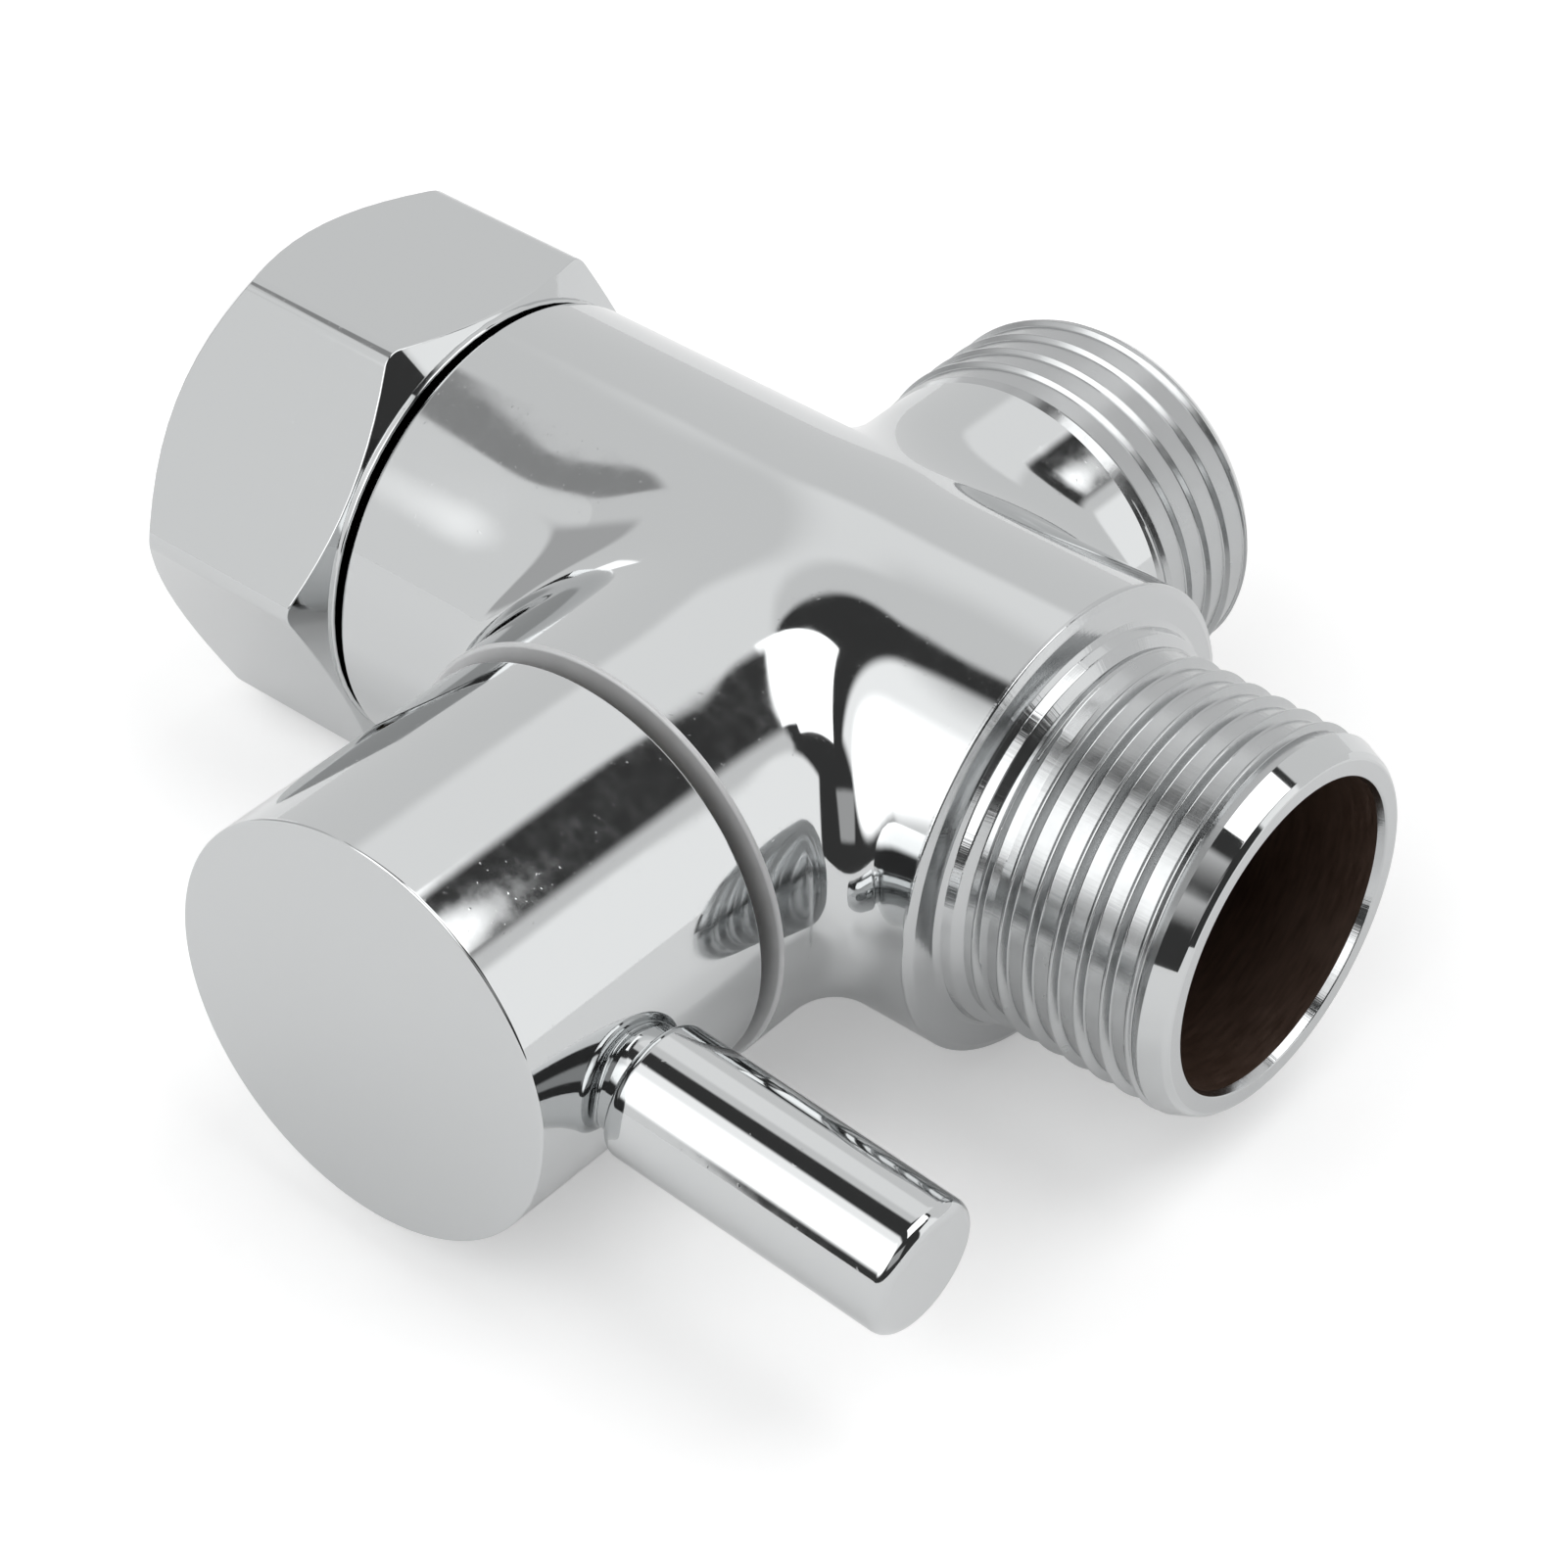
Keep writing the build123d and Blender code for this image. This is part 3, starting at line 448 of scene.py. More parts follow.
outlet_band = [
    (OUTLET_THREAD_END, BAND_R, 0),
    (OUTLET_END - 0.25, 9.95, 0.2),
    (OUTLET_END, 9.7, 0.1),
    (OUTLET_END, OUTLET_FACE_R, 0),
]
lathe(body, run_axis, outlet_band, steps=5)
outlet_rim = [
    (OUTLET_END, OUTLET_FACE_R, 0),
    (OUTLET_END, OUTLET_BORE_R + 0.15, 0.12),
    (OUTLET_END - OUTLET_MOUTH, OUTLET_BORE_R, 0),
]
lathe(body, run_axis, outlet_rim, paint=TURNED)
outlet_bore = [
    (OUTLET_CHANNEL, PORT_R, 0),
    (OUTLET_CHANNEL, OUTLET_BORE_R, 0.3),
    (OUTLET_END - OUTLET_MOUTH, OUTLET_BORE_R, 0),
]
lathe(body, run_axis, outlet_bore, inside=True, paint=BORE)

# Neck of the knob with the chamber behind it, and the end of the side outlet
BONNET_HOLE_R, BONNET_SEAT, CHAMBER_FLOOR = 9.9, 11.0, -12.2
SIDE_PORT_R, SIDE_PORT_END, SIDE_BORE_R, SIDE_MOUTH = 4.9, -14.6, 8.2, 0.3
SIDE_THREAD_END = 24.2
neck_face = [
    (NECK_END - NECK_ROUND, KNOB_NECK_R, 0),
    (NECK_END, KNOB_NECK_R, NECK_ROUND),
    (NECK_END, BONNET_HOLE_R, 0.1),
    (BONNET_SEAT, BONNET_HOLE_R, 0),
]
lathe(body, knob_axis, neck_face, paint=SATIN)
lathe(body, knob_axis, [(BONNET_SEAT, BONNET_HOLE_R, 0), (BONNET_SEAT, CHAMBER_R, 0)], paint=BORE)
ported_chamber(body, CHAMBER_FLOOR, BONNET_SEAT)
side_bore = [
    (CHAMBER_FLOOR, CHAMBER_R, 0),
    (CHAMBER_FLOOR, SIDE_PORT_R, 0),
    (SIDE_PORT_END, SIDE_PORT_R, 0),
    (SIDE_PORT_END, SIDE_BORE_R, 0.3),
    (-SIDE_END + SIDE_MOUTH, SIDE_BORE_R, 0),
]
lathe(body, knob_axis, side_bore, paint=BORE)
side_outlet_end = [
    (SIDE_THREAD_END, SIDE_NECK_R, 0),
    (SIDE_END, 9.75, 0.2),
    (SIDE_END, SIDE_BORE_R + 0.3, 0.15),
    (SIDE_END - SIDE_MOUTH, SIDE_BORE_R, 0),
]
lathe(body, side_axis, side_outlet_end, steps=5)
valve_body = body.build("valve_body_surface", "body")
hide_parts("valve_body")

# Outside threads, which run out at both ends
OUTLET_PITCH, OUTLET_ROOT_R = 1.55, 10.02
outlet_from, outlet_to = (OUTLET_THREAD_START, RUN_OUT_R), (OUTLET_THREAD_END, BAND_R)
outlet = Shell()
helix(
    outlet,
    run_axis,
    OUTLET_THREAD_START,
    OUTLET_THREAD_END,
    thread_form(OUTLET_PITCH, THREAD_R, OUTLET_ROOT_R, 0.12, 0.92, 0.08, 0.12),
    OUTLET_PITCH,
    low=broken_line(outlet_from, (18.6, OUTLET_ROOT_R), (26.9, OUTLET_ROOT_R), outlet_to),
    high=broken_line(outlet_from, (18.0, THREAD_R), (27.4, THREAD_R), outlet_to),
    crest_at=(27.2, radians(152)),
)
outlet_thread = outlet.build("outlet_thread", "body")

SIDE_PITCH = 1.75
SIDE_CREST_R, SIDE_ROOT_R = 10.45, 10.19
side_from, side_to = (SIDE_START, SIDE_NECK_R), (SIDE_THREAD_END, SIDE_NECK_R)
side = Shell()
helix(
    side,
    side_axis,
    SIDE_START,
    SIDE_THREAD_END,
    thread_form(SIDE_PITCH, SIDE_CREST_R, SIDE_ROOT_R, 0.12, 1.23, 0.06, 0.10),
    SIDE_PITCH,
    low=broken_line(side_from, (17.4, SIDE_ROOT_R), (23.3, SIDE_ROOT_R), side_to),
    high=broken_line(side_from, (17.2, SIDE_CREST_R), (23.7, SIDE_CREST_R), side_to),
    crest_at=(18.6, radians(65)),
)
side_thread = side.build("side_thread", "body")


# Inlet nut
def nut_outline(half_flats, corner_round, corner_angle):
    """Rounded hexagon about the run, as samples of y, z and the normal's angle."""
    samples = []
    corner_centre = (half_flats - corner_round) / cos(pi / 6)
    for side_number in range(6):
        middle = corner_angle + side_number * pi / 3
        cx, cy = corner_centre * cos(middle), corner_centre * sin(middle)
        for step in range(13):
            facing = middle - pi / 6 + pi / 3 * step / 12
            samples.append((cx + corner_round * cos(facing), cy + corner_round * sin(facing), facing))
        after = middle + pi / 6
        start = samples[-1]
        far = middle + pi / 3
        ex = corner_centre * cos(far) + corner_round * cos(after)
        ey = corner_centre * sin(far) + corner_round * sin(after)
        for step in range(1, 10):
            w = step / 10
            samples.append((start[0] + (ex - start[0]) * w, start[1] + (ey - start[1]) * w, after))
    samples.append(samples[0][:2] + (samples[0][2] + 2 * pi,))
    return np.array(samples)


def nut_outside(shell, outline, rim_r, land, mouth_slope, back_slope, rounding):
    """Outside of the nut from its mouth to its back, with a turned cone and a rim at both ends."""
    y, z, facing = outline[:, 0], outline[:, 1], outline[:, 2]
    radius, angle = np.hypot(y, z), np.unwrap(np.arctan2(z, y))
    columns = []
    for rho in radius:
        mouth_cone = NUT_MOUTH + (rho - rim_r) * mouth_slope
        back_cone = NUT_BACK - land - (rho - rim_r) * back_slope
        columns.append(
            rounded_profile(
                [
                    (NUT_MOUTH, rim_r - 0.5, 0),
                    (NUT_MOUTH, rim_r, 0.2),
                    (mouth_cone, rho, rounding),
                    (back_cone, rho, rounding),
                    (NUT_BACK - land, rim_r, 0.03),
                    (NUT_BACK, rim_r, 0.15),
                    (NUT_BACK, rim_r - 0.5, 0),
                ],
                steps=5,
            )
        )
    round_way = np.stack([0 * angle, np.cos(angle), np.sin(angle)], -1)[:, None]
    for strip in range(len(columns[0])):
        places = np.array([np.array(column[strip][0]) for column in columns])
        tangents = np.array([np.array(column[strip][1]) for column in columns])
        points = places[..., :1] * np.array([1.0, 0, 0]) + places[..., 1:] * round_way
        along = tangents[..., :1] * np.array([1.0, 0, 0]) + tangents[..., 1:] * round_way
        closed = np.concatenate([points[-2:-1], points, points[1:2]])
        around = closed[2:] - closed[:-2]
        normals = np.cross(around, along)
        outward = tangents[..., :1] * round_way - tangents[..., 1:] * np.array([1.0, 0, 0])
        normals *= np.sign((normals * outward).sum(-1, keepdims=True))
        if strip == FLATS_STRIP:
            normals = np.stack([0 * facing, np.cos(facing), np.sin(facing)], -1)[:, None] + 0 * points
        shell.grid(points, normals)


FLATS_STRIP = 4
NUT_PITCH, NUT_THREAD_END, NUT_LEAD_IN = 1.814, -CROSSING, 1.2
NUT_MOUTH_R, NUT_FACE_R, NUT_RIM_R = 10.6, 12.4, 12.85
NUT_HOLE_R, NUT_HOLE, UNDERCUT_R = 9.2755, 2.6, 10.9155
nut = Shell()
nut_outside(
    nut,
    nut_outline(half_flats=13.0, corner_round=1.4, corner_angle=radians(55.4)),
    NUT_RIM_R,
    land=0.4,
    mouth_slope=tan(radians(41.0)),
    back_slope=tan(radians(30.0)),
    rounding=0.12,
)
lathe(nut, run_axis, [(NUT_MOUTH, NUT_MOUTH_R, 0), (NUT_MOUTH, NUT_FACE_R, 0)])
nut_back = [
    (NUT_BACK, NUT_FACE_R, 0),
    (NUT_BACK, NUT_HOLE_R, 0.1),
    (NUT_BACK - NUT_HOLE, NUT_HOLE_R, 0),
    (NUT_BACK - NUT_HOLE, UNDERCUT_R, 0),
    (NUT_THREAD_END, UNDERCUT_R, 0),
    (NUT_THREAD_END, 9.4, 0),
]
lathe(nut, run_axis, nut_back)
helix(
    nut,
    run_axis,
    NUT_MOUTH,
    NUT_THREAD_END,
    thread_form(NUT_PITCH, THREAD_R, THREAD_MINOR_R, 0.3, 0.34, 0.1, 0.1),
    NUT_PITCH,
    low=broken_line(
        (NUT_MOUTH, NUT_MOUTH_R),
        (NUT_MOUTH + NUT_LEAD_IN, THREAD_MINOR_R),
        (NUT_THREAD_END, THREAD_MINOR_R),
    ),
    high=broken_line((NUT_MOUTH, NUT_MOUTH_R), (NUT_THREAD_END, NUT_MOUTH_R)),
    crest_at=(NUT_MOUTH, 0.0),
    inside=True,
)
inlet_nut = nut.build("inlet_nut_surface", "nut")
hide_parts("inlet_nut")

# Lever
LEVER_R, LEVER_WAIST_R = 3.65, 2.9
LEVER_ROOT, LEVER_SHOULDER, LEVER_END = 11.0, 12.15, 29.0
lever_profile = [
    (LEVER_ROOT, LEVER_WAIST_R, 0),
    (LEVER_SHOULDER, LEVER_WAIST_R, 0.2),
    (LEVER_SHOULDER, LEVER_R, 0.6),
    (LEVER_END, LEVER_R, 0.75),
    (LEVER_END, 0.0, 0),
]
pin = Shell()
lathe(
    pin,
    lever_axis,
    lever_profile,
    segments=160,
    steps=10,
    offset=(0, -LEVER_PLACE, 0),
)
lever = pin.build("lever_surface", "knob")
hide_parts("lever")

# Knob: a turned cup, with a round opening for its set screw on the underside
KNOB_R, KNOB_REAR, KNOB_FRONT, KNOB_ROUND = 11.65, 18.8, 34.85, 0.15
CAVITY_R, CAVITY_FLOOR, BOSS_WALL = 10.0, 24.4, 1.9
SCREW_HOLE_R, SCREW_SEAT_R = 2.01, 10.0
SCREW_ANGLE = -pi / 2 - LEVER_DROP
WINDOW, RIM_ROUND = 3.2, 0.15


def knob_side(shell):
    """Side of the knob in three bands; the middle one leaves room for the opening."""
    rear, front = KNOB_REAR + KNOB_ROUND, KNOB_FRONT - KNOB_ROUND
    low, high = LEVER_PLACE - WINDOW, LEVER_PLACE + WINDOW
    half_angle = WINDOW / KNOB_R
    whole = np.linspace(0, 2 * pi, 225)[:, None]
    rest = np.linspace(SCREW_ANGLE + half_angle, SCREW_ANGLE - half_angle + 2 * pi, 209)[:, None]
    for angle, start, end in ((whole, rear, low), (rest, low, high), (whole, high, front)):
        place = np.linspace(start, end, 4)[None, :]
        shell.grid(knob_axis(place, KNOB_R, angle), knob_axis(0 * place, 1.0 + 0 * place, angle))


def knob_opening(shell):
    """Square window of the knob's side round the screw opening, with the opening's rounded rim."""
    way = np.linspace(0, 2 * pi, 97)[:, None]

    def rings(reach, radius, out, up):
        """Rings round the screw; their normals are out away from its axis and up from the knob's."""
        reach, radius = reach + 0 * way, radius + 0 * way
        place = LEVER_PLACE + reach * np.sin(way)
        angle = SCREW_ANGLE + reach * np.cos(way) / KNOB_R
        normals = knob_axis(out * np.sin(way), up + 0 * place, angle)
        normals = normals + knob_axis(0 * place, out * np.cos(way), angle + pi / 2)
        shell.grid(knob_axis(place, radius, angle), normals)

    square = WINDOW / np.maximum(np.abs(np.cos(way)), np.abs(np.sin(way)))
    share = np.linspace(0, 1, 7)[None, :]
    reach = (SCREW_HOLE_R + RIM_ROUND) * (1 - share) + square * share
    rings(reach, KNOB_R + 0 * share, 0 * share, 1 + 0 * share)
    fall = np.linspace(0, pi / 2, 5)[None, :]
    rings(
        SCREW_HOLE_R + RIM_ROUND * (1 - np.sin(fall)),
        KNOB_R - RIM_ROUND * (1 - np.cos(fall)),
        -np.sin(fall),
        np.cos(fall),
    )
    ends = np.array([[KNOB_R - RIM_ROUND, SCREW_SEAT_R]])
    rings(SCREW_HOLE_R + 0 * ends, ends, -1 + 0 * ends, 0 * ends)


cup = Shell()
knob_side(cup)
knob_opening(cup)
front_edge = [
    (KNOB_FRONT - KNOB_ROUND, KNOB_R, 0),
    (KNOB_FRONT, KNOB_R, KNOB_ROUND),
    (KNOB_FRONT, 0.0, 0),
]
lathe(cup, knob_axis, front_edge)
insert_low, insert_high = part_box("knob_insert")
insert_rear, insert_end = -insert_high[1] * 1000, -insert_low[1] * 1000
insert_r = (insert_high[2] - insert_low[2]) * 500
boss_r = insert_r + BOSS_WALL
cavity = [
    (insert_end, 0.0, 0),
    (insert_end, insert_r, 0),
    (insert_rear, insert_r, 0),
    (insert_rear, boss_r, 0.2),
    (CAVITY_FLOOR, boss_r, 0),
    (CAVITY_FLOOR, CAVITY_R, 0.2),
    (KNOB_REAR, CAVITY_R, 0.12),
    (KNOB_REAR, KNOB_R, KNOB_ROUND),
    (KNOB_REAR + KNOB_ROUND, KNOB_R, 0),
]
lathe(cup, knob_axis, cavity, steps=4)
knob = cup.build("knob_surface", "knob")
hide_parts("knob")

# Materials
CHROME, TURNED_CHROME, CUT_CHROME = (0.60, 0.612, 0.616), (0.54, 0.55, 0.555), (0.48, 0.49, 0.494)


class Nodes:
    """A node tree, with short ways to add nodes and links."""

    def __init__(self, tree):
        self.tree = tree

    def link(self, out, into):
        self.tree.links.new(out, into)

    def node(self, kind, **settings):
        node = self.tree.nodes.new(kind)
        for key, value in settings.items():
            setattr(node, key, value)
        return node

    def maths(self, operation, *values, kind="ShaderNodeMath"):
        node = self.node(kind, operation=operation)
        for socket, value in zip(node.inputs, values):
            if isinstance(value, (int, float, tuple)):
                socket.default_value = value
            else:
                self.link(value, socket)
        return node.outputs["Value"]

    def range(self, value, low, high, to_low, to_high, **settings):
        node = self.node("ShaderNodeMapRange", **settings)
        ends = {"From Min": low, "From Max": high, "To Min": to_low, "To Max": to_high}
        for socket, number in ends.items():
            node.inputs[socket].default_value = number
        self.link(value, node.inputs["Value"])
        return node.outputs["Result"]


class Material(Nodes):
    """A Principled material: shader sockets by name, and the textures that the finishes share."""

    def __init__(self, name, colour, metallic=0.0, roughness=0.4, **sockets):
        self.material = bpy.data.materials.new(name)
        self.material.use_nodes = True
        super().__init__(self.material.node_tree)
        self.shader = self.tree.nodes["Principled BSDF"]
        self.shader.inputs["Base Color"].default_value = (*colour, 1)
        self.shader.inputs["Metallic"].default_value = metallic
        self.shader.inputs["Roughness"].default_value = roughness
        for socket, value in sockets.items():
            self.shader.inputs[socket.replace("_", " ")].default_value = value
        self.place = self.node("ShaderNodeTexCoord").outputs["Object"]

    def noise(self, scale, detail=2.0, roughness=0.5, stretch=None):
        node = self.node("ShaderNodeTexNoise")
        node.inputs["Scale"].default_value = scale
        node.inputs["Detail"].default_value = detail
        node.inputs["Roughness"].default_value = roughness
        source = self.place
        if stretch:
            mapping = self.node("ShaderNodeMapping")
            mapping.inputs["Scale"].default_value = stretch
            self.link(source, mapping.inputs["Vector"])
            source = mapping.outputs["Vector"]
        self.link(source, node.inputs["Vector"])
        return node.outputs["Fac"]

    def roughness(self, value):
        self.link(value, self.shader.inputs["Roughness"])

    def colours(self, value, low, high):
        ramp = self.node("ShaderNodeValToRGB")
        ramp.color_ramp.elements[0].color = (*low, 1)
        ramp.color_ramp.elements[1].color = (*high, 1)
        self.link(value, ramp.inputs["Fac"])
        self.link(ramp.outputs["Color"], self.shader.inputs["Base Color"])

    def bump(self, *layers):
        """layers: (height value, depth in metres), one Bump node each, one after the other."""
        normal = None
        for height, depth in layers:
            node = self.node("ShaderNodeBump")
            node.inputs["Distance"].default_value = depth
            self.link(height, node.inputs["Height"])
            if normal is not None:
                self.link(normal, node.inputs["Normal"])
            normal = node.outputs["Normal"]
        self.link(normal, self.shader.inputs["Normal"])

    def line_noise(self, value, scale, detail):
        node = self.node("ShaderNodeTexNoise", noise_dimensions="1D")
        node.inputs["Scale"].default_value = scale
        node.inputs["Detail"].default_value = detail
        self.link(value, node.inputs["W"])
        return node.outputs["Fac"]

    def across_run(self):
        split = self.node("ShaderNodeSeparateXYZ")
        self.link(self.place, split.inputs[0])
        return split.outputs["Y"], split.outputs["Z"]

    def chatter(self, per_radian):
        """Fine marks across the turned surfaces: noise by the angle about the run."""
        return self.line_noise(self.maths("ARCTAN2", *self.across_run()), per_radian, 2.0)

    def rings(self, per_metre):
        """Turning marks: noise by the distance from the run's axis."""
        squares = [self.maths("MULTIPLY", part, part) for part in self.across_run()]
        return self.line_noise(self.maths("SQRT", self.maths("ADD", *squares)), per_metre, 3.0)


def chrome_plate():
    m = Material("chrome_plate", CHROME, metallic=1.0, roughness=0.05)
    m.roughness(m.range(m.noise(900, 4.0, 0.6), 0.35, 0.7, 0.035, 0.075))
    pits = m.range(m.noise(3600, 2.0, 0.5), 0.70, 0.80, 0.0, 1.0)
    m.bump((m.noise(120, 1.0), 9e-6), (pits, 1.2e-6))
    return m.material


def turned_chrome():
    m = Material("turned_chrome", TURNED_CHROME, metallic=1.0, roughness=0.12)
    m.roughness(m.range(m.noise(900, 4.0, 0.6), 0.35, 0.7, 0.10, 0.18))
    m.bump((m.rings(9000), 2e-6), (m.chatter(55), 5e-6), (m.noise(700, 3.0), 2e-6))
    return m.material


def thread_chrome():
    m = Material("thread_chrome", CUT_CHROME, metallic=1.0, roughness=0.2)
    m.roughness(m.range(m.noise(700, 4.0, 0.6), 0.35, 0.7, 0.17, 0.28))
    m.bump((m.chatter(40), 4e-6), (m.noise(1100, 3.0), 4e-6))
    return m.material


def satin_chrome():
    m = Material("satin_chrome", (0.60, 0.605, 0.61), metallic=0.45, roughness=0.55)
    m.roughness(m.range(m.noise(900, 4.0, 0.6), 0.35, 0.7, 0.48, 0.62))
    m.bump((m.noise(1500, 3.0), 2e-6))
    return m.material


def dark_bore():
    m = Material("dark_bore", (0.035, 0.02, 0.014), metallic=0.0, roughness=0.42)
    streaks = m.noise(500, 4.0, 0.6, stretch=(8, 1, 1))
    m.colours(streaks, (0.012, 0.006, 0.004), (0.10, 0.060, 0.042))
    m.roughness(m.range(streaks, 0.3, 0.7, 0.30, 0.55))
    m.bump((streaks, 8e-6))
    return m.material


def bare_brass():
    m = Material("bare_brass", (0.72, 0.48, 0.20), metallic=1.0, roughness=0.25)
    marks = m.noise(600, 4.0, 0.6)
    m.colours(marks, (0.60, 0.38, 0.15), (0.80, 0.56, 0.25))
    m.roughness(m.range(marks, 0.3, 0.7, 0.18, 0.36))
    m.bump((m.noise(2500, 2.0), 3e-6))
    return m.material


def steel():
    m = Material("steel", (0.55, 0.54, 0.52), metallic=1.0, roughness=0.28)
    marks = m.noise(800, 4.0, 0.6)
    m.colours(marks, (0.42, 0.41, 0.40), (0.62, 0.61, 0.59))
    m.roughness(m.range(marks, 0.3, 0.7, 0.2, 0.4))
    m.bump((m.noise(3000, 2.0), 3e-6))
    return m.material


def black_rubber():
    m = Material("black_rubber", (0.02, 0.02, 0.02), roughness=0.6)
    grain = m.noise(1800, 4.0, 0.6)
    m.colours(grain, (0.012, 0.012, 0.012), (0.035, 0.034, 0.033))
    m.roughness(m.range(grain, 0.3, 0.7, 0.5, 0.75))
    m.bump((grain, 8e-6))
    return m.material


def ceramic():
    m = Material("ceramic", (0.82, 0.80, 0.75), roughness=0.2)
    grain = m.noise(1500, 4.0, 0.6)
    m.colours(grain, (0.76, 0.74, 0.69), (0.86, 0.84, 0.80))
    m.roughness(m.range(grain, 0.3, 0.7, 0.15, 0.3))
    m.bump((grain, 2e-6))
    return m.material


def white_plastic():
    m = Material("white_plastic", (0.80, 0.80, 0.78), roughness=0.4, Subsurface_Weight=0.1)
    grain = m.noise(900, 3.0, 0.6)
    m.colours(grain, (0.74, 0.74, 0.71), (0.84, 0.84, 0.82))
    m.roughness(m.range(grain, 0.3, 0.7, 0.35, 0.5))
    m.bump((grain, 4e-6))
    return m.material


finishes = {
    "chrome_plate": chrome_plate(),
    "bare_brass": bare_brass(),
    "steel": steel(),
    "black_rubber": black_rubber(),
    "ceramic": ceramic(),
    "white_plastic": white_plastic(),
}
threads = thread_chrome()
body_paints = {
    PLATED: finishes["chrome_plate"],
    TURNED: turned_chrome(),
    BORE: dark_bore(),
    SATIN: satin_chrome(),
}
for paint in sorted(body_paints):
    valve_body.data.materials.append(body_paints[paint])
for piece in (outlet_thread, side_thread):
    piece.data.materials.append(threads)
for piece in (inlet_nut, lever, knob):
    piece.data.materials.append(finishes["chrome_plate"])
finish_of = {
    "chrome_plate": ("valve_body", "inlet_nut", "knob", "lever"),
    "bare_brass": ("bonnet", "rotor"),
    "steel": ("nut_retaining_ring", "inlet_screen", "stem_clip", "stop_pin", "knob_set_screw"),
    "black_rubber": (
        "inlet_gasket",
        "rotor_seal",
        "seat_seal",
        "bonnet_o_ring",
        "inner_stem_o_ring",
        "outer_stem_o_ring",
    ),
    "ceramic": ("moving_disc", "fixed_disc"),
    "white_plastic": ("friction_washer", "knob_insert"),
}
for finish, nodes in finish_of.items():
    for node in nodes:
        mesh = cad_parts[node].data
        mesh.materials.clear()
        mesh.materials.append(finishes[finish])


# Floor
FLOOR_HALF, FLOOR_GAP = 1.6, 0.0002
FLOOR_COLOUR, FLOOR_GLOW, GLOSSY_SHARE = (0.86, 0.86, 0.86), 0.30, 0.4


def stage_material(name, colour, camera_glow):
    """Matt material that glows for the camera, and for reflections by GLOSSY_SHARE of that."""
    material = bpy.data.materials.new(name)
    material.use_nodes = True
    nodes = Nodes(material.node_tree)
    shader = nodes.tree.nodes["Principled BSDF"]
    shader.inputs["Base Color"].default_value = (*colour, 1)
    shader.inputs["Roughness"].default_value = 0.9
    shader.inputs["Specular IOR Level"].default_value = 0.0
    path = nodes.node("ShaderNodeLightPath").outputs
    straight = nodes.maths("MAXIMUM", path["Is Camera Ray"], path["Is Transmission Ray"])
    reflected = nodes.maths("MULTIPLY", path["Is Glossy Ray"], GLOSSY_SHARE)
    strength = nodes.maths("MULTIPLY", nodes.maths("MAXIMUM", straight, reflected), camera_glow)
    glow = nodes.node("ShaderNodeEmission")
    nodes.link(strength, glow.inputs["Strength"])
    both = nodes.node("ShaderNodeAddShader")
    nodes.link(shader.outputs[0], both.inputs[0])
    nodes.link(glow.outputs[0], both.inputs[1])
    nodes.link(both.outputs[0], nodes.tree.nodes["Material Output"].inputs["Surface"])
    return material


floor_level = cad_bounds[0][2] - FLOOR_GAP
floor_corners = [
    (x * FLOOR_HALF, y * FLOOR_HALF, floor_level) for x, y in ((-1, -1), (1, -1), (1, 1), (-1, 1))
]
floor_mesh = bpy.data.meshes.new("floor")
floor_mesh.from_pydata(floor_corners, [], [(0, 1, 2, 3)])
floor = bpy.data.objects.new("floor", floor_mesh)
bpy.context.scene.collection.objects.link(floor)
floor_mesh.materials.append(stage_material("floor_white", FLOOR_COLOUR, FLOOR_GLOW))


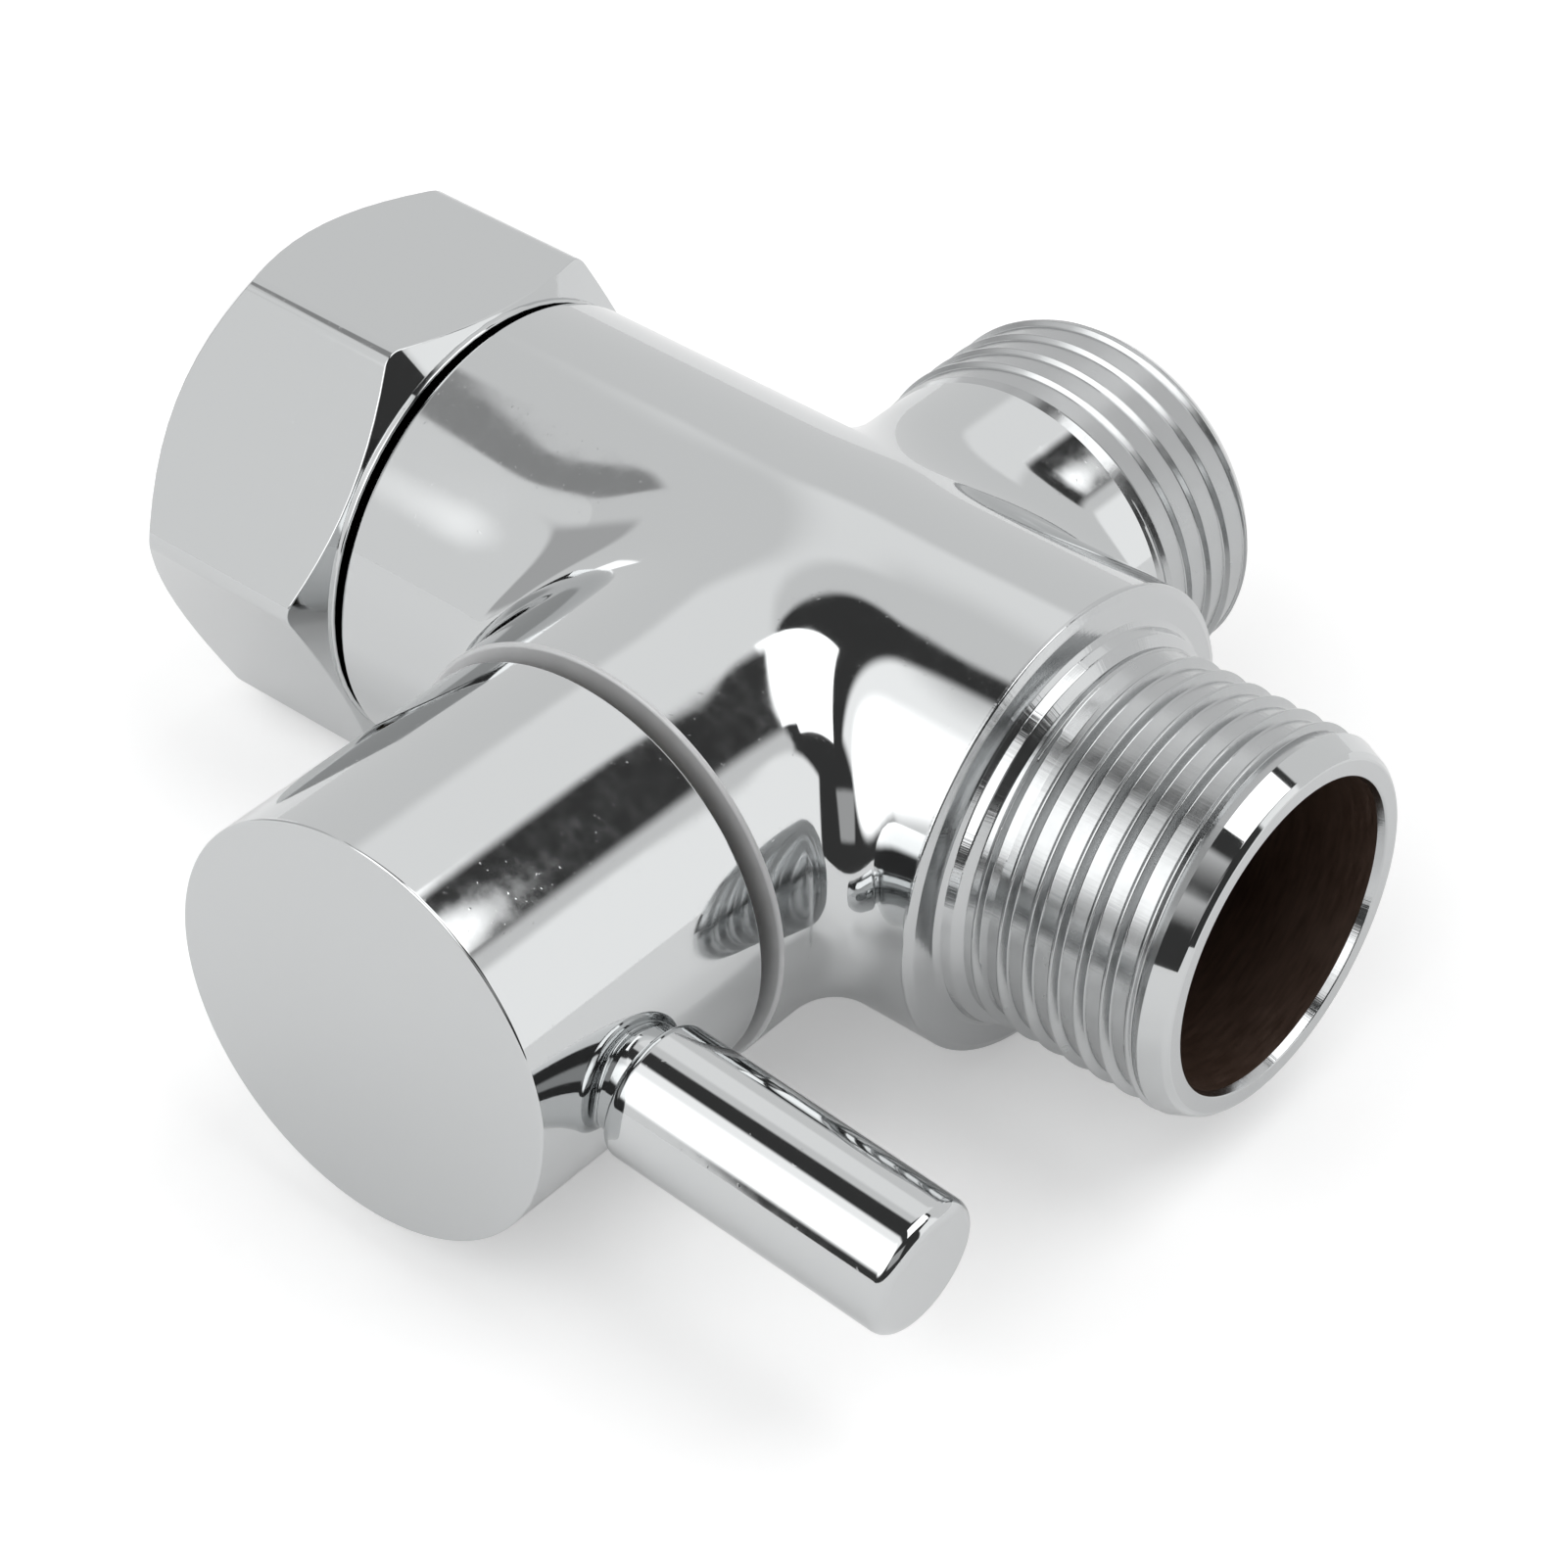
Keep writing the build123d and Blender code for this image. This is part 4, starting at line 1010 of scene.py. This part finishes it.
# Studio: a dark room with soft panels, painted on the world by direction from the object
class Room(Nodes):
    """World whose panels are laid one over the other, each with a radiance and soft edges."""

    def __init__(self, radiance):
        world = bpy.data.worlds.new("studio")
        bpy.context.scene.world = world
        world.use_nodes = True
        super().__init__(world.node_tree)
        self.background = self.tree.nodes["Background"]
        self.background.inputs["Strength"].default_value = 1.0
        self.way = self.node("ShaderNodeTexCoord").outputs["Generated"]
        self.value = radiance

    def dot(self, direction):
        return self.maths("DOT_PRODUCT", self.way, tuple(direction), kind="ShaderNodeVectorMath")

    def soft(self, value, edge, softness):
        """1 where value is below edge, falling to 0 at edge + softness."""
        return self.range(value, edge, edge + softness, 1.0, 0.0, interpolation_type="SMOOTHSTEP")

    def lay(self, mask, radiance):
        """Puts a panel of that radiance over what is there."""
        gap = self.maths("SUBTRACT", radiance, self.value)
        self.value = self.maths("ADD", self.value, self.maths("MULTIPLY", gap, mask))

    def panel(
        self, azimuth, elevation, half_width, half_height, radiance,
        softness=0.03, turn=0.0, round_panel=False,
    ):
        """Flat panel seen at that azimuth from +X and elevation, with half sizes in degrees."""
        a, e, w = radians(azimuth), radians(elevation), radians(turn)
        centre = Vector((cos(a) * cos(e), sin(a) * cos(e), sin(e)))
        side = Vector((-sin(a), cos(a), 0))
        top = centre.cross(side)
        side, top = side * cos(w) + top * sin(w), top * cos(w) - side * sin(w)
        ahead = self.maths("MAXIMUM", self.dot(centre), 0.001)
        x = self.maths("DIVIDE", self.dot(side / tan(radians(half_width))), ahead)
        y = self.maths("DIVIDE", self.dot(top / tan(radians(half_height))), ahead)
        if round_panel:
            squares = [self.maths("MULTIPLY", part, part) for part in (x, y)]
            mask = self.soft(self.maths("SQRT", self.maths("ADD", *squares)), 1.0, softness)
        else:
            inside_x = self.soft(self.maths("ABSOLUTE", x), 1.0, softness)
            inside_y = self.soft(self.maths("ABSOLUTE", y), 1.0, softness)
            mask = self.maths("MULTIPLY", inside_x, inside_y)
        self.lay(mask, radiance)

    def wall(self, azimuth, half_width, height, sag, radiance, softness=3.0):
        """Wall from the floor up to an elevation that sags away from its middle azimuth."""
        a = radians(azimuth)
        ahead, aside = self.dot((cos(a), sin(a), 0)), self.dot((-sin(a), cos(a), 0))
        beside = self.maths("ARCTAN2", aside, ahead)
        away = self.maths("DIVIDE", self.maths("ABSOLUTE", beside), radians(half_width))
        climb = self.maths("DIVIDE", self.maths("ARCSINE", self.dot((0, 0, 1))), radians(1.0))
        drop = self.maths("MULTIPLY", self.maths("MULTIPLY", away, away), sag)
        top = self.maths("ADD", climb, drop)
        mask = self.maths("MULTIPLY", self.soft(top, height, softness), self.soft(away, 1.0, 0.03))
        self.lay(mask, radiance)

    def finish(self):
        """Leaves the room to reflections and light; the camera sees a plain white background."""
        path = self.node("ShaderNodeLightPath").outputs
        self.lay(self.maths("MAXIMUM", path["Is Camera Ray"], path["Is Transmission Ray"]), 1.0)
        self.link(self.value, self.background.inputs["Color"])


# Each panel: azimuth, elevation, half width and half height in degrees, then its radiance
DARK, SOFTBOX = 0.05, 2.3
room = Room(DARK)
room.panel(-40, 28, 16, 10, 0.50, softness=0.4)
room.wall(137, 97, height=70, sag=34.5, radiance=0.85)
room.panel(112, 52, 13, 10, 1.08, softness=0.5)
room.wall(-137, 24, height=50, sag=0, radiance=0.95, softness=5.0)
room.panel(-172, 55, 12, 1.6, 0.35, softness=0.4)
room.panel(-165, 24, 14, 18, 0.55, softness=0.3)
room.panel(155, 4, 3.5, 13, 1.7, softness=0.2)
room.panel(30, 14, 11, 18, 1.25, softness=0.25)
room.panel(-100, 58, 20, 11, 1.35, softness=0.5)
room.panel(-98, 36, 21, 21, SOFTBOX, softness=0.5, round_panel=True)
room.panel(53, 54, 11.5, 5.5, SOFTBOX, softness=0.12, turn=44)
room.panel(36, 69, 19, 19, SOFTBOX, turn=45)
room.panel(63.5, 49, 12, 2.0, DARK, softness=0.5, turn=37)
room.finish()

# Camera, where the photograph was taken from
AZIMUTH, ELEVATION, ROLL = radians(38.04), radians(39.51), radians(2.05)
DISTANCE = 0.25087
TARGET = Vector((CROSSING - 2.45, 0.36, -7.77)) * 0.001
FOCAL_PIXELS, IMAGE_PIXELS, SENSOR = 4800.0, 1601.0, 36.0
back = Vector((sin(AZIMUTH) * cos(ELEVATION), -cos(AZIMUTH) * cos(ELEVATION), sin(ELEVATION)))
right = (-back).cross(Vector((0, 0, 1))).normalized()
up = right.cross(-back)
rolled_right = right * cos(ROLL) + up * sin(ROLL)
rolled_up = up * cos(ROLL) - right * sin(ROLL)
camera_data = bpy.data.cameras.new("camera")
camera_data.sensor_width = SENSOR
camera_data.lens = SENSOR * FOCAL_PIXELS / IMAGE_PIXELS
camera_data.clip_start = 0.01
camera = bpy.data.objects.new("camera", camera_data)
turn = Matrix((rolled_right, rolled_up, back)).transposed().to_4x4()
camera.matrix_world = Matrix.Translation(TARGET + back * DISTANCE) @ turn
bpy.context.scene.collection.objects.link(camera)
bpy.context.scene.camera = camera
bpy.context.scene.view_settings.view_transform = "Standard"
